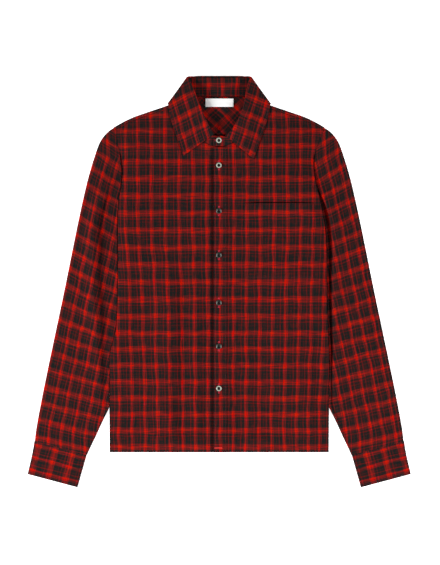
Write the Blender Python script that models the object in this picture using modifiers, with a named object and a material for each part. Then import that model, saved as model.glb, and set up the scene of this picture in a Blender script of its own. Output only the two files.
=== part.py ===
"""A long-sleeved flannel shirt, buttoned up and laid flat on its back with the sleeves at its sides.

Millimetres in every table and function here, turned to metres where a mesh is made. The shirt lies on z = 0
with its collar towards +Y. Left and right are those of someone looking down on it: left is -X.
Cloth is a wall one layer thick. Pieces that are sewn together, or that lie on each other, keep a narrow gap.
"""

import math
from collections import namedtuple

import bmesh
import bpy
from mathutils import Vector

MM = 0.001
WALL = 1.4  # thickness of the cloth with its turned edges
GAP = 0.4  # between two pieces, at a seam or where one lies on the other
LAYER = WALL + GAP  # how far each piece lies above the one under it
SEAM = 0.3  # half of the way that two edges keep from each other along the neck seam

# Body
HEM_Y = -341.0
UNDERARM_Y = 172.0
HEM_HALF = 219.0
LOFT = 2.3  # how far the fronts stand off the back, away from their edges
EDGE_RUN = 24.0  # width over which a front comes down to the side seam
NECK_RUN = 60.0  # the same towards the neck
SHOULDER_RUN = 30.0  # and towards the shoulder seam
HEM_RUN = 34.0  # and towards the hem, where this share of the loft is left
HEM_LOFT = 0.4
NECK_CENTRE_Y = 335.0
NECK_REACH = 72.0
TROUGH_FADE = 0.2  # share of its length over which a trough reaches its depth

# Fronts, measured from the centre line towards the side seam
OVER_EDGE = -10.5  # the front on top passes the centre line by this much
UNDER_EDGE = -9.0
OVER_COLUMNS = (OVER_EDGE, 0, 15.5, 27, 34, 42, 50, 85, 120, 155, 170, 180, 188, 204, HEM_HALF)
UNDER_COLUMNS = (UNDER_EDGE, 0, 12, 34, 58, 72, 84, 96, 110, 140, 165, 188, 204, HEM_HALF)
LAST_STRAIGHT = 188.0  # columns up to here run straight down, the rest follow the side seam
PLACKET_EDGE = -12.5
PLACKET_COLUMNS = (PLACKET_EDGE, OVER_EDGE, 0, 15.5)
STEP_RUN = 11.5  # width over which the front on top comes down off the front under it
STEP_WIDER = 14.0  # the same step starts this much further out at the neck
STEP_WIDER_Y = 258.0
STEP_WIDER_RUN = 10.0

# Pocket, on the columns and rows of the front that carries it
POCKET_COLUMNS = (50, 85, 120, 155, 170, 180, 188)
POCKET_LEVELS = (7, 57, 107, 132, 157)

# Yokes
YOKE_SEAM_Y = 264.0
YOKE_STEP_LEAD = 14.0  # the fronts start to climb onto the yokes this far below the seam
YOKE_STEP_RUN = 12.0
SHOULDER_DROP = 7.4  # the shoulder seam lies this far in front of the shoulder's fold
SHOULDER_GAP = 1.2
ARMHOLE_GAP = 1.0
NECK_HALF = 82.0
NECK_BACK_Y = 369.0
FOLD = (WALL + LAYER + LAYER) / 2  # outer radius of the outer yoke's fold round the inner one
INNER_STOP = 5.6  # the inner yoke ends this far short of the fold
INNER_WIDTH = 0.99  # its width as a share of the outer yoke's

# The fall of the collar passes under the back of the neck and lifts the yokes there
LIFT_FOOT_Y = 338.0
LIFT_RUN = 11.0
LIFT_LEAD = 2.6  # each layer above starts to rise this much sooner

# Collar
ROLL = 2.0  # outer radius of the roll between stand and fall
ROLL_OUT = 5.0  # from the axis of the collar's side folds to the face of the fall, at the roll
EDGE_OUT = 4.3  # the same at the edge of the fall
STAND_TOP = 1.5  # the stand ends this far below the roll, clear of the start of the fall
STAND_IN = 1.0  # from that axis to the inner face of the stand, at the roll
NECK_IN = 1.1  # the same at the neck seam
ROLL_STEPS = (-90, -45, 0, 45, 90)
FALL_STEPS = (0.22, 0.48, 0.74, 1.0)
STAND_STEPS = (0, 0.5, 1)
FALL_REST = 0.3  # more room than a gap, between the fall and the fronts
FALL_AHEAD = 5.0  # its edge is as high as the front this much nearer to the neck

# Label
LABEL_WIDTH = 56.0
LABEL_HEIGHT = 16.6
LABEL_CENTRE = (0.6, 357.2)
LABEL_WALL = 1.0

# Sleeves and cuffs
SLEEVE_CLEAR = 1.0  # between a sleeve and the side of the body
SLEEVE_FOLD = 2.4  # outer radius of a sleeve's folded edges
CREASE_HALF = 8.0
CREASE_INNER_SHARE = 0.6  # its half width towards the body, as a share of the other half
CREASE_SINK_SHARE = 0.55  # how much of the sink is in the crease itself, the rest lowers the strip past it
CREASE_END_RUN = 6.0
EDGE_EASE = 22.0
INNER_EDGE_START = 0.2
CUFF_WALL = 1.6
CUFF_FOLD = 2.3
CUFF_RISE = 5.0
FOLD_ANGLES = (-45, 0, 45)

# Buttons
BUTTON_X = -0.6
BUTTON_RADIUS = 5.8
BUTTON_SIDES = 16
EYE_RADIUS = 0.8
EYE_OUT = 1.35
STAND_BUTTON_Y = 282.0
PLACKET_BUTTONS = (232.0, 141.0, 53.0, -42.0, -129.0, -213.0)

BodyEdge = namedtuple("BodyEdge", "y left right")
BODY_EDGES = (  # half widths at the side seams, then up the armholes from the underarm
    BodyEdge(HEM_Y, 219.0, 219.0),
    BodyEdge(-200, 219.0, 219.0),
    BodyEdge(-140, 217.0, 218.5),
    BodyEdge(-95, 206.0, 216.5),
    BodyEdge(-50, 203.0, 215.0),
    BodyEdge(7, 202.0, 214.0),
    BodyEdge(57, 202.0, 214.0),
    BodyEdge(107, 202.0, 210.5),
    BodyEdge(150, 201.5, 203.5),
    BodyEdge(UNDERARM_Y, 200.0, 199.0),
    BodyEdge(190, 197.0, 194.5),
    BodyEdge(221, 195.0, 190.0),
    BodyEdge(253, 198.5, 191.5),
    BodyEdge(283, 204.0, 200.0),
    BodyEdge(308, 211.0, 211.0),
)

PanelRow = namedtuple("PanelRow", "inner_x inner_y edge_y")
LEVELS = (HEM_Y, -331, -300, -262, -225, -185, -140, -118, -95, -50, 7, 57, 107, 132, 157, UNDERARM_Y)
PANEL_ROWS = [PanelRow(None, level, level) for level in LEVELS] + [
    PanelRow(None, 192, 182),  # no inner_x: the row starts at the front edge
    PanelRow(None, 222, 201),
    PanelRow(None, 248, 221),
    PanelRow(None, 268.6, 240),
    PanelRow(17.0, 272.5, 253),
    PanelRow(41.0, 285.0, 264),
    PanelRow(62.0, 306.0, 277),
    PanelRow(72.0, 323.0, 286),
    PanelRow(78.0, 338.0, 294),
    PanelRow(81.6, 352.6, 301),
]

Shoulder = namedtuple("Shoulder", "x y")
SHOULDER = (  # where the outer yoke folds over to the front
    Shoulder(NECK_HALF, 360.0),
    Shoulder(104, 351.5),
    Shoulder(143, 338.5),
    Shoulder(175, 327.0),
    Shoulder(199, 315.0),
    Shoulder(211, 308.0),
)

Trough = namedtuple("Trough", "x_top y_top x_foot y_foot half_width depth")
TROUGHS = (
    Trough(-84, 20, -84, HEM_Y, 14, 1.5),
    Trough(-106, -225, -80, HEM_Y, 13, 1.1),
    Trough(34, -215, 34, HEM_Y, 10, 1.5),
    Trough(180, -95, 181, HEM_Y, 11, 1.6),
)

Station = namedtuple("Station", "outer_y inner_y hug height crease_left sink_left crease_right sink_right")
SLEEVE = (  # sections from the armhole to the cuff: hug is how far each follows the armhole's curve
    Station(307, UNDERARM_Y, 1.0, 5.4, 34, 0.0, 16, 0.0),
    Station(290, 166, 0.8, 5.6, 36, 0.9, 15, 0.6),
    Station(266, 158, 0.55, 6.0, 38, 1.6, 14, 1.0),
    Station(234, 148, 0.32, 6.3, 40, 2.1, 13, 1.3),
    Station(198, 134, 0.14, 6.5, 43, 2.4, 13, 1.5),
    Station(160, 114, 0.0, 6.6, 46, 2.4, 13, 1.6),
    Station(118, 86, 0.0, 6.6, 47, 2.4, 12, 1.6),
    Station(74, 45, 0.0, 6.6, 44, 2.3, 12, 1.5),
    Station(28, -2, 0.0, 6.6, 46, 2.3, 12, 1.4),
    Station(-20, -50, 0.0, 6.5, 43, 2.2, 12, 1.3),
    Station(-68, -98, 0.0, 6.4, 32, 2.0, 12, 1.2),
    Station(-116, -146, 0.0, 6.3, 18, 1.6, 12, 1.1),
    Station(-165, -195, 0.0, 6.2, 12, 1.2, 12, 1.0),
    Station(-212, -243, 0.0, 6.1, 12, 0.9, 12, 0.8),
    Station(-253, -282, 0.0, 6.0, 13, 0.5, 13, 0.4),
    Station(-288, -316, 0.0, 5.8, 14, 0.2, 14, 0.2),
    Station(-318.8, -346.6, 0.0, 5.6, 15, 0.0, 15, 0.0),
)

Outline = namedtuple("Outline", "y x")
SLEEVE_OUTSIDE = (
    Outline(-318.8, 368.6),
    Outline(-300, 366.5),
    Outline(-249, 357.5),
    Outline(-27, 311.5),
    Outline(195, 265.0),
    Outline(225, 257.0),
    Outline(243, 251.5),
    Outline(267, 243.5),
    Outline(279, 238.5),
    Outline(291, 230.5),
    Outline(303, 218.0),
    Outline(307, 211.6),
)
SLEEVE_INSIDE = (  # below the point where the sleeve leaves the body
    Outline(-346.6, 264.2),
    Outline(-333, 258.0),
    Outline(-309, 246.5),
    Outline(-285, 235.6),
    Outline(-255, 221.0),
)

Cuff = namedtuple("Cuff", "outer_x outer_y inner_x inner_y")
CUFF = (
    Cuff(369.6, -319.4, 264.9, -347.2),
    Cuff(374.0, -345.0, 272.5, -374.0),
    Cuff(383.0, -384.6, 283.0, -411.2),
)

Collar = namedtuple("Collar", "turn rise roll_x roll_y edge_x edge_y neck_x neck_y")
COLLAR_LEFT = (  # from the front edge of the fall to the side; turn goes from 0, face up, to 180, face down
    Collar(0, -0.2, 10.6, 293.6, 71.4, 251.2, 17.0, 272.5),
    Collar(0, 1.2, 18.0, 307.0, 78.0, 270.0, 41.0, 285.0),
    Collar(0, 2.3, 26.4, 323.0, 85.6, 291.2, 62.0, 306.0),
    Collar(0, 2.8, 34.0, 341.0, 92.0, 309.0, 72.0, 323.0),
    Collar(0, 2.6, 41.5, 360.0, 97.0, 325.2, 78.0, 338.0),
    Collar(0, 1.8, 50.0, 382.0, 100.0, 340.0, 80.6, 351.0),
    Collar(0, 0.7, 57.0, 400.0, 101.0, 348.0, 80.4, 359.0),
)
COLLAR_RIGHT = (
    Collar(0, 1.4, 12.0, 291.5, 68.8, 244.4, 17.0, 272.5),
    Collar(0, 2.1, 23.0, 301.0, 76.0, 266.0, 41.0, 285.0),
    Collar(0, 2.6, 37.4, 323.0, 84.6, 289.8, 62.0, 306.0),
    Collar(0, 2.8, 43.6, 337.0, 91.4, 309.0, 72.0, 323.0),
    Collar(0, 2.6, 48.6, 352.0, 96.6, 326.0, 78.0, 338.0),
    Collar(0, 1.8, 53.4, 378.0, 99.8, 340.0, 80.6, 351.0),
    Collar(0, 0.7, 58.0, 399.0, 101.0, 348.0, 80.4, 359.0),
)
COLLAR_SIDE = [Collar(turn, 0, 61.4, 406.4, 101.0, 352.0, 78.5, 364.5) for turn in (0, 45, 90, 135, 180)]
COLLAR_BACK = (
    Collar(180, 0, 50.0, 410.6, 88.0, 355.5, 60.0, 368.6),
    Collar(180, 0, 28.0, 411.2, 42.0, 358.5, 32.0, NECK_BACK_Y + GAP),
)
COLLAR_MIDDLE = Collar(180, 0, 0.0, 411.2, 0.0, 359.5, 0.0, NECK_BACK_Y + GAP)
STAND_END_LEFT = (  # past the fall, to the buttoned ends of the stand
    Collar(0, -0.4, -9.0, 291.0, -9.0, 250.0, -9.0, 271.0),
    Collar(0, -0.4, 0.0, 294.4, 0.0, 250.0, 0.0, 270.4),
)
STAND_END_RIGHT = (
    Collar(0, 1.4, -13.0, 289.0, -13.0, 250.0, -13.0, 271.0),
    Collar(0, 1.4, 0.0, 294.4, 0.0, 250.0, 0.0, 270.4),
)

CHECK_RED = (0.20, 0.028, 0.032, 1.0)
LABEL_WHITE = (0.80, 0.79, 0.77, 1.0)
BUTTON_SMOKE = (0.045, 0.045, 0.05, 1.0)


def ease(share):
    """0 to 1 with soft ends."""
    share = min(max(share, 0.0), 1.0)
    return share * share * (3 - 2 * share)


def read(rows, key, column, at):
    """A column of a table where its key column is at, on a soft curve through the rows."""
    rows = sorted(rows, key=lambda row: getattr(row, key))
    keys = [getattr(row, key) for row in rows]
    values = [getattr(row, column) for row in rows]
    at = min(max(at, keys[0]), keys[-1])
    slopes = [(v1 - v0) / (k1 - k0) for k0, k1, v0, v1 in zip(keys, keys[1:], values, values[1:])]
    tangents = [slopes[0]] + [(a + b) / 2 for a, b in zip(slopes, slopes[1:])] + [slopes[-1]]
    low = max(index for index in range(len(keys) - 1) if keys[index] <= at)
    step = keys[low + 1] - keys[low]
    t = (at - keys[low]) / step
    return (
        values[low] * (1 + 2 * t) * (1 - t) ** 2
        + values[low + 1] * t * t * (3 - 2 * t)
        + step * t * (1 - t) * (tangents[low] * (1 - t) - tangents[low + 1] * t)
    )


def body_edge(y, side):
    return read(BODY_EDGES, "y", "left" if side < 0 else "right", y)


def shoulder(x):
    return read(SHOULDER, "x", "y", abs(x))


# Heights -------------------------------------------------------------------------


def lift(y):
    """How far the fall of the collar raises what lies on it at the back of the neck."""
    return LAYER * ease((y - LIFT_FOOT_Y) / LIFT_RUN)


def lying(y):
    """Underside of a front that lies on the back, or on the two yokes higher up."""
    on_yokes = ease((y - YOKE_SEAM_Y + YOKE_STEP_LEAD) / YOKE_STEP_RUN)
    return LAYER * (1 + on_yokes) + lift(y + 2 * LIFT_LEAD)


def sunk(x, y):
    """Depth at a point of the troughs that pass it."""
    depth = 0.0
    for trough in TROUGHS:
        along = (trough.y_top - y) / (trough.y_top - trough.y_foot)
        if 0 <= along <= 1:
            middle = trough.x_top + (trough.x_foot - trough.x_top) * along
            across = 1 - ease(abs(x - middle) / trough.half_width)
            depth += trough.depth * ease(along / TROUGH_FADE) * across
    return depth


def front_under(x, y, side):
    """Underside of the fronts, without the step of the one that lies on top."""
    edge = max(body_edge(y, side) - abs(x), 0)
    neck = math.hypot(x, y - NECK_CENTRE_Y) - NECK_REACH
    top = shoulder(x) - SHOULDER_DROP - y
    rise = LOFT * ease(edge / EDGE_RUN) * ease(neck / NECK_RUN) * ease(top / SHOULDER_RUN)
    rise *= HEM_LOFT + (1 - HEM_LOFT) * ease((y - HEM_Y) / HEM_RUN)
    return lying(y) + max(rise - sunk(x, y), 0.0)


def over_under(x, y):
    """Underside of the front on top: a layer higher where it passes over the other one."""
    start = OVER_COLUMNS[2] + STEP_WIDER * ease((y - STEP_WIDER_Y) / STEP_WIDER_RUN)
    return front_under(x, y, 1) + LAYER * (1 - ease((x - start) / STEP_RUN))


# Making --------------------------------------------------------------------------


def finish(name, colour, roughness):
    material = bpy.data.materials.new(name)
    material.use_nodes = True
    shader = material.node_tree.nodes["Principled BSDF"]
    shader.inputs["Base Color"].default_value = colour
    shader.inputs["Roughness"].default_value = roughness
    shader.inputs["Metallic"].default_value = 0.0
    return material


def add(name, mesh, material):
    mesh.materials.clear()
    mesh.materials.append(material)
    piece = bpy.data.objects.new(name, mesh)
    bpy.data.collections["flannel_shirt"].objects.link(piece)
    return piece


def cloth(name, columns, rows, place, wall=WALL, grow=1, missing=None, colour=CHECK_RED):
    """A grid of columns by rows, put in place point by point, with its wall on the side grow says."""
    bm = bmesh.new()
    wide, long = len(columns) - 1, len(rows) - 1
    bmesh.ops.create_grid(bm, x_segments=wide, y_segments=long, size=0.5)
    if missing:
        holes = []
        for face in bm.faces:
            centre = face.calc_center_median()
            if missing(int((centre.x + 0.5) * wide), int((centre.y + 0.5) * long)):
                holes.append(face)
        bmesh.ops.delete(bm, geom=holes, context="FACES")
    for vert in bm.verts:
        column = columns[round((vert.co.x + 0.5) * wide)]
        row = rows[round((vert.co.y + 0.5) * long)]
        vert.co = Vector(place(column, row)) * MM
    bmesh.ops.remove_doubles(bm, verts=bm.verts, dist=0.01 * MM)
    mesh = bpy.data.meshes.new(name)
    bm.to_mesh(mesh)
    bm.free()
    piece = add(name, mesh, finish(name, colour, 0.9))
    solid = piece.modifiers.new("Wall", "SOLIDIFY")
    solid.thickness = wall * MM
    solid.offset = grow
    solid.use_even_offset = True
    return piece


# Back and yokes ------------------------------------------------------------------


def make_back():
    rows = [row.edge_y for row in PANEL_ROWS if row.edge_y < YOKE_SEAM_Y - 5] + [YOKE_SEAM_Y - GAP]

    def place(share, y):
        return share * body_edge(y, share), y, 0.0

    cloth("back", (-1, -0.5, 0, 0.5, 1), rows, place)


YOKE_HALF = 211.0
YOKE_COLUMNS = (-YOKE_HALF, -199, -175, -143, -116, -104, -NECK_HALF, -60, -30, 0)
YOKE_COLUMNS += tuple(-x for x in reversed(YOKE_COLUMNS[:-1]))
YOKE_SHARES = (0, 0.4, 0.72, 0.8, 0.88, 1)
FOLD_TURNS = (-45, 0, 45, 90)


def neckline(x):
    """The back neck seam, level in the middle and falling towards the shoulders."""
    return NECK_BACK_Y - 2.5 * ease((abs(x) - 40) / 42) ** 2


def drawn_in(x, y):
    """Squeezes the columns of the yokes between the armholes, which draw in below the shoulders."""
    return x * (body_edge(y, x) - ARMHOLE_GAP) / YOKE_HALF


def make_yokes():
    def outer(x, row):
        kind, step = row
        across = drawn_in(x, shoulder(x) - SHOULDER_DROP)
        top = shoulder(across) - FOLD if abs(x) >= NECK_HALF else neckline(x)
        if kind == "plate":
            y = YOKE_SEAM_Y + step * (top - YOKE_SEAM_Y)
            return drawn_in(x, y), y, lift(y)
        if kind == "fold":
            turn = math.radians(step)
            return across, top + FOLD * math.cos(turn), lift(top) + FOLD * (1 + math.sin(turn))
        return across, shoulder(across) - SHOULDER_DROP + SHOULDER_GAP, lift(top) + 2 * FOLD

    rows = [("plate", share) for share in YOKE_SHARES]
    rows += [("fold", turn) for turn in FOLD_TURNS] + [("strap", 1)]
    first = len(YOKE_SHARES) - 1
    neck = [index for index, x in enumerate(YOKE_COLUMNS[:-1]) if -NECK_HALF <= x < NECK_HALF]
    cloth("back_yoke", YOKE_COLUMNS, rows, outer, missing=lambda i, j: j >= first and i in neck)

    def inner(x, share):
        top = shoulder(x) - INNER_STOP if abs(x) >= NECK_HALF else neckline(x)
        y = YOKE_SEAM_Y + GAP + share * (top - YOKE_SEAM_Y - GAP)
        return INNER_WIDTH * drawn_in(x, y), y, LAYER + lift(y + LIFT_LEAD)

    cloth("inner_yoke", YOKE_COLUMNS, YOKE_SHARES, inner)

    def label(u, v):
        x = LABEL_CENTRE[0] + u * LABEL_WIDTH / 2
        y = LABEL_CENTRE[1] + v * LABEL_HEIGHT / 2
        return x, y, 2 * LAYER + lift(NECK_BACK_Y)

    cloth("neck_label", (-1, 0, 1), (-1, 1), label, wall=LABEL_WALL, colour=LABEL_WHITE)


# Fronts --------------------------------------------------------------------------


def panel_point(column, row, side, first):
    """Plan position of a front's point, from its column, counted out from the centre line, and its row."""
    edge = body_edge(row.edge_y, side)
    if row.inner_x is None and row.edge_y <= POCKET_LEVELS[-1]:
        share = max(column - LAST_STRAIGHT, 0) / (HEM_HALF - LAST_STRAIGHT)
        return side * (min(column, LAST_STRAIGHT) + share * (edge - LAST_STRAIGHT)), row.inner_y
    share = (column - first) / (HEM_HALF - first)
    inner, inner_y = first, row.inner_y
    if row.inner_x is not None:
        away = Vector((row.inner_x, row.inner_y - NECK_CENTRE_Y)).normalized() * SEAM
        inner, inner_y = row.inner_x + away.x, row.inner_y + away.y
    x = inner + share * (edge - inner)
    y = inner_y + share * (row.edge_y - inner_y)
    if row is PANEL_ROWS[-1]:
        y = shoulder(x) - SHOULDER_DROP
    return side * x, y


def make_fronts():
    def under(column, row):
        x, y = panel_point(column, row, -1, UNDER_EDGE)
        return x, y, front_under(x, y, -1)

    def over(column, row):
        x, y = panel_point(column, row, 1, OVER_EDGE)
        return x, y, over_under(x, y)

    def placket(x, row):
        return x, row.inner_y, over_under(max(x, OVER_EDGE), row.inner_y) + LAYER

    def pocket(x, y):
        return x, y, over_under(x, y) + LAYER

    cloth("front_left", tuple(reversed(UNDER_COLUMNS)), PANEL_ROWS, under)
    cloth("front_right", OVER_COLUMNS, PANEL_ROWS, over)
    rows = [row for row in PANEL_ROWS if row.inner_x is None]
    cloth("front_placket", PLACKET_COLUMNS, rows, placket)
    cloth("chest_pocket", POCKET_COLUMNS, POCKET_LEVELS, pocket)


# Collar --------------------------------------------------------------------------


def collar_frame(row, side):
    """Axis points at roll, edge and neck, and the directions down the fall and out of its face."""
    roll = Vector((side * row.roll_x, row.roll_y, ROLL_OUT + row.rise))
    edge = Vector((side * row.edge_x, row.edge_y, EDGE_OUT))
    neck = Vector((side * row.neck_x, row.neck_y, EDGE_OUT))
    down = Vector((edge.x - roll.x, edge.y - roll.y, 0)).normalized()
    outwards = Vector((-down.y * side, down.x * side, 0))
    turn = math.radians(row.turn)
    face = outwards * math.sin(turn) + Vector((0, 0, math.cos(turn)))
    if row.turn == 0 and row not in COLLAR_SIDE:
        height = over_under if side > 0 else lambda x, y: front_under(x, y, -1)
        edge.z = height(edge.x, edge.y + FALL_AHEAD) + WALL + LAYER + FALL_REST - EDGE_OUT
        neck.z = height(neck.x, neck.y) - NECK_IN
    return roll + down * ROLL, edge, neck, down, face


def fall_point(station, row):
    roll, edge, neck, down, face = collar_frame(*station)
    kind, step = row
    if kind == "roll":
        turn = math.radians(step)
        return roll + face * (ROLL_OUT - ROLL + ROLL * math.sin(turn)) - down * ROLL * math.cos(turn)
    settled = 1 - (1 - step) ** 1.5
    point = roll.lerp(edge, step)
    point.z = roll.z + (edge.z - roll.z) * settled
    return point + face * (ROLL_OUT + settled * (EDGE_OUT - ROLL_OUT))


def stand_point(station, step):
    roll, edge, neck, down, face = collar_frame(*station)
    top = roll + down * STAND_TOP + face * STAND_IN
    foot = neck + face * NECK_IN
    foot += (top - foot).normalized() * SEAM
    return top.lerp(foot, step)


def make_collar():
    left = [(row, -1) for row in COLLAR_LEFT] + [(row, -1) for row in COLLAR_SIDE]
    left += [(row, -1) for row in COLLAR_BACK]
    right = [(row, 1) for row in COLLAR_RIGHT] + [(row, 1) for row in COLLAR_SIDE]
    right += [(row, 1) for row in COLLAR_BACK]
    fall = left + [(COLLAR_MIDDLE, 1)] + right[::-1]
    rows = [("roll", turn) for turn in ROLL_STEPS] + [("fall", share) for share in FALL_STEPS]
    cloth("collar_fall", fall, rows, fall_point, grow=-1)
    stand = [(row, -1) for row in STAND_END_LEFT] + fall + [(row, 1) for row in STAND_END_RIGHT[::-1]]
    cloth("collar_stand", stand, STAND_STEPS, stand_point, grow=1)


# Sleeves -------------------------------------------------------------------------


def tube_ring(tops, bottoms):
    """Names the points round a flattened tube: along the bottom, round the inner fold, back over the top."""
    ring = [("bottom", share) for share in bottoms]
    ring += [("inner", turn) for turn in FOLD_ANGLES]
    ring += [("top", place) for place in tops]
    ring += [("outer", turn) for turn in reversed(FOLD_ANGLES)]
    return ring + ring[:1]


def tube_point(outer, inner, spot, fold, top_height):
    """A point of a flattened tube's section between its outer and inner edges, and its share of the way."""
    length = (inner - outer).length
    kind, value = spot
    if kind == "bottom":
        distance, z = fold + value * (length - 2 * fold), 0.0
    elif kind == "top":
        distance = fold + value * (length - 2 * fold)
        z = top_height(distance, length)
    else:
        turn = math.radians(value)
        distance = fold * (1 - math.cos(turn)) if kind == "outer" else length - fold * (1 - math.cos(turn))
        z = fold * (1 + math.sin(turn))
    point = outer.lerp(inner, distance / length)
    point.z = z
    return point, distance / length


def sleeve_ends(row, side):
    """Where a section of the sleeve has its outer and its inner edge."""
    outer_x = read(SLEEVE_OUTSIDE, "y", "x", row.outer_y)
    if row.inner_y > SLEEVE_INSIDE[-1].y:
        inner_x = body_edge(row.inner_y, side) + SLEEVE_CLEAR
    else:
        inner_x = read(SLEEVE_INSIDE, "y", "x", row.inner_y)
    return Vector((side * outer_x, row.outer_y, 0)), Vector((side * inner_x, row.inner_y, 0))


def armhole_bow(share, side):
    """How far the armhole bends in from a straight line, at a share of its way down from the shoulder."""
    outer, inner = sleeve_ends(SLEEVE[0], side)
    straight = outer.lerp(inner, share)
    return abs(straight.x) - body_edge(straight.y, side) - GAP


TOP_PLACES = (  # across the top of a sleeve, from the crease to the inner edge and then to the outer edge
    ("strip", 1),
    ("strip", 0.5),
    ("crease", 1),
    ("crease", 0),
    ("crease", -1),
    ("main", 0.78),
    ("main", 0.55),
    ("main", 0.32),
    ("main", 0.12),
    ("main", 0),
)


def make_sleeve(name, side):
    inner_half = CREASE_HALF * CREASE_INNER_SHARE

    def place(spot, row):
        outer, inner = sleeve_ends(row, side)
        crease = row.crease_left if side < 0 else row.crease_right
        sink = row.sink_left if side < 0 else row.sink_right
        kind, value = spot
        if kind == "top":
            where, step = value
            length = (inner - outer).length
            start = length - crease
            if where == "strip":
                distance = start + inner_half + step * (crease - inner_half - SLEEVE_FOLD)
            elif where == "crease":
                distance = start + step * (inner_half if step > 0 else CREASE_HALF)
            else:
                distance = SLEEVE_FOLD + step * (start - CREASE_HALF - SLEEVE_FOLD)
            spot = ("top", (distance - SLEEVE_FOLD) / (length - 2 * SLEEVE_FOLD))

        def height(distance, length):
            low = 2 * SLEEVE_FOLD
            rise = row.height - low
            rise *= ease((distance - SLEEVE_FOLD) / EDGE_EASE)
            rise *= ease((length - distance) / EDGE_EASE + INNER_EDGE_START)
            from_crease = distance - (length - crease)
            half = CREASE_HALF
            if from_crease > 0:
                rise -= sink * (1 - CREASE_SINK_SHARE)
                half = inner_half
            groove = sink * CREASE_SINK_SHARE * (1 - ease(abs(from_crease) / half))
            return low + rise - groove * ease((length - distance) / CREASE_END_RUN)

        point, share = tube_point(outer, inner, spot, SLEEVE_FOLD, height)
        point.x -= side * row.hug * armhole_bow(share, side)
        return point

    ring = tube_ring(TOP_PLACES, (0, 0.35, 0.7, 1))
    cloth(name, ring, SLEEVE[::-1], place, grow=-side)


def make_cuff(name, side):
    def height(distance, length):
        return 2 * CUFF_FOLD + (CUFF_RISE - 2 * CUFF_FOLD) * math.sin(math.pi * distance / length)

    def place(spot, row):
        outer = Vector((side * row.outer_x, row.outer_y, 0))
        inner = Vector((side * row.inner_x, row.inner_y, 0))
        return tube_point(outer, inner, spot, CUFF_FOLD, height)[0]

    ring = tube_ring((1, 0.66, 0.33, 0), (0, 0.5, 1))
    cloth(name, ring, CUFF[::-1], place, wall=CUFF_WALL, grow=-side)


# Buttons -------------------------------------------------------------------------

Turned = namedtuple("Turned", "radius z")
BUTTON = (  # dished top with a rounded rim, from the middle of the top round to the middle of the back
    Turned(0.0, 1.5),
    Turned(2.7, 1.5),
    Turned(3.5, 2.1),
    Turned(4.7, 2.3),
    Turned(5.6, 1.7),
    Turned(BUTTON_RADIUS, 1.1),
    Turned(4.6, 0.1),
    Turned(3.9, 0.0),
    Turned(0.0, 0.0),
)


def button_mesh():
    """The turned button with its four eyes drilled through."""
    profile = bmesh.new()
    verts = [profile.verts.new((point.radius * MM, 0, point.z * MM)) for point in BUTTON]
    for above, below in zip(verts, verts[1:]):
        profile.edges.new((above, below))
    mesh = bpy.data.meshes.new("button_profile")
    profile.to_mesh(mesh)
    profile.free()
    blank = add("button_blank", mesh, finish("button", BUTTON_SMOKE, 0.25))
    turn = blank.modifiers.new("Turn", "SCREW")
    turn.steps = turn.render_steps = BUTTON_SIDES
    turn.use_merge_vertices = True
    turn.merge_threshold = 0.01 * MM

    drill = bmesh.new()
    for quarter in range(4):
        angle = math.radians(45 + 90 * quarter)
        made = bmesh.ops.create_cone(
            drill, cap_ends=True, segments=6, radius1=EYE_RADIUS * MM, radius2=EYE_RADIUS * MM, depth=8 * MM
        )
        out = Vector((math.cos(angle), math.sin(angle), 0)) * EYE_OUT * MM
        bmesh.ops.translate(drill, verts=made["verts"], vec=out)
    mesh = bpy.data.meshes.new("button_eyes")
    drill.to_mesh(mesh)
    drill.free()
    eyes = bpy.data.objects.new("button_eyes", mesh)
    bpy.context.scene.collection.objects.link(eyes)
    cut = blank.modifiers.new("Eyes", "BOOLEAN")
    cut.object = eyes
    cut.operation = "DIFFERENCE"
    cut.solver = "EXACT"
    bpy.context.view_layer.update()
    drilled = blank.evaluated_get(bpy.context.evaluated_depsgraph_get())
    made = bpy.data.meshes.new_from_object(drilled)
    made.name = "button"
    bpy.data.objects.remove(blank)
    bpy.data.objects.remove(eyes)
    return made


def make_buttons():
    mesh = button_mesh()
    material = mesh.materials[0]
    stand_top = stand_point((STAND_END_RIGHT[1], 1), 0)
    stand_foot = stand_point((STAND_END_RIGHT[1], 1), 1)
    slope = stand_top - stand_foot
    rise = stand_foot.z + slope.z * (STAND_BUTTON_Y - stand_foot.y) / slope.y
    places = [(STAND_BUTTON_Y, rise, math.atan2(slope.z, slope.y))]
    places += [(y, over_under(0, y) + LAYER, 0.0) for y in PLACKET_BUTTONS]
    for number, (y, height, tilt) in enumerate(places, 1):
        piece = add(f"button_{number}", mesh, material)
        piece.location = Vector((BUTTON_X, y, height + LAYER)) * MM
        piece.rotation_euler.x = tilt


def main():
    for thing in list(bpy.data.objects):
        bpy.data.objects.remove(thing)
    bpy.context.scene.collection.children.link(bpy.data.collections.new("flannel_shirt"))
    make_back()
    make_yokes()
    make_fronts()
    make_collar()
    make_sleeve("sleeve_left", -1)
    make_sleeve("sleeve_right", 1)
    make_cuff("cuff_left", -1)
    make_cuff("cuff_right", 1)
    make_buttons()


main()
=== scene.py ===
"""A checked flannel shirt laid flat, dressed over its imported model.

Sizes are in millimetres unless a line says so.
"""

import math
from bisect import bisect_right
from collections import namedtuple

import bmesh
import bpy
from mathutils import Matrix, Vector


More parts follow.
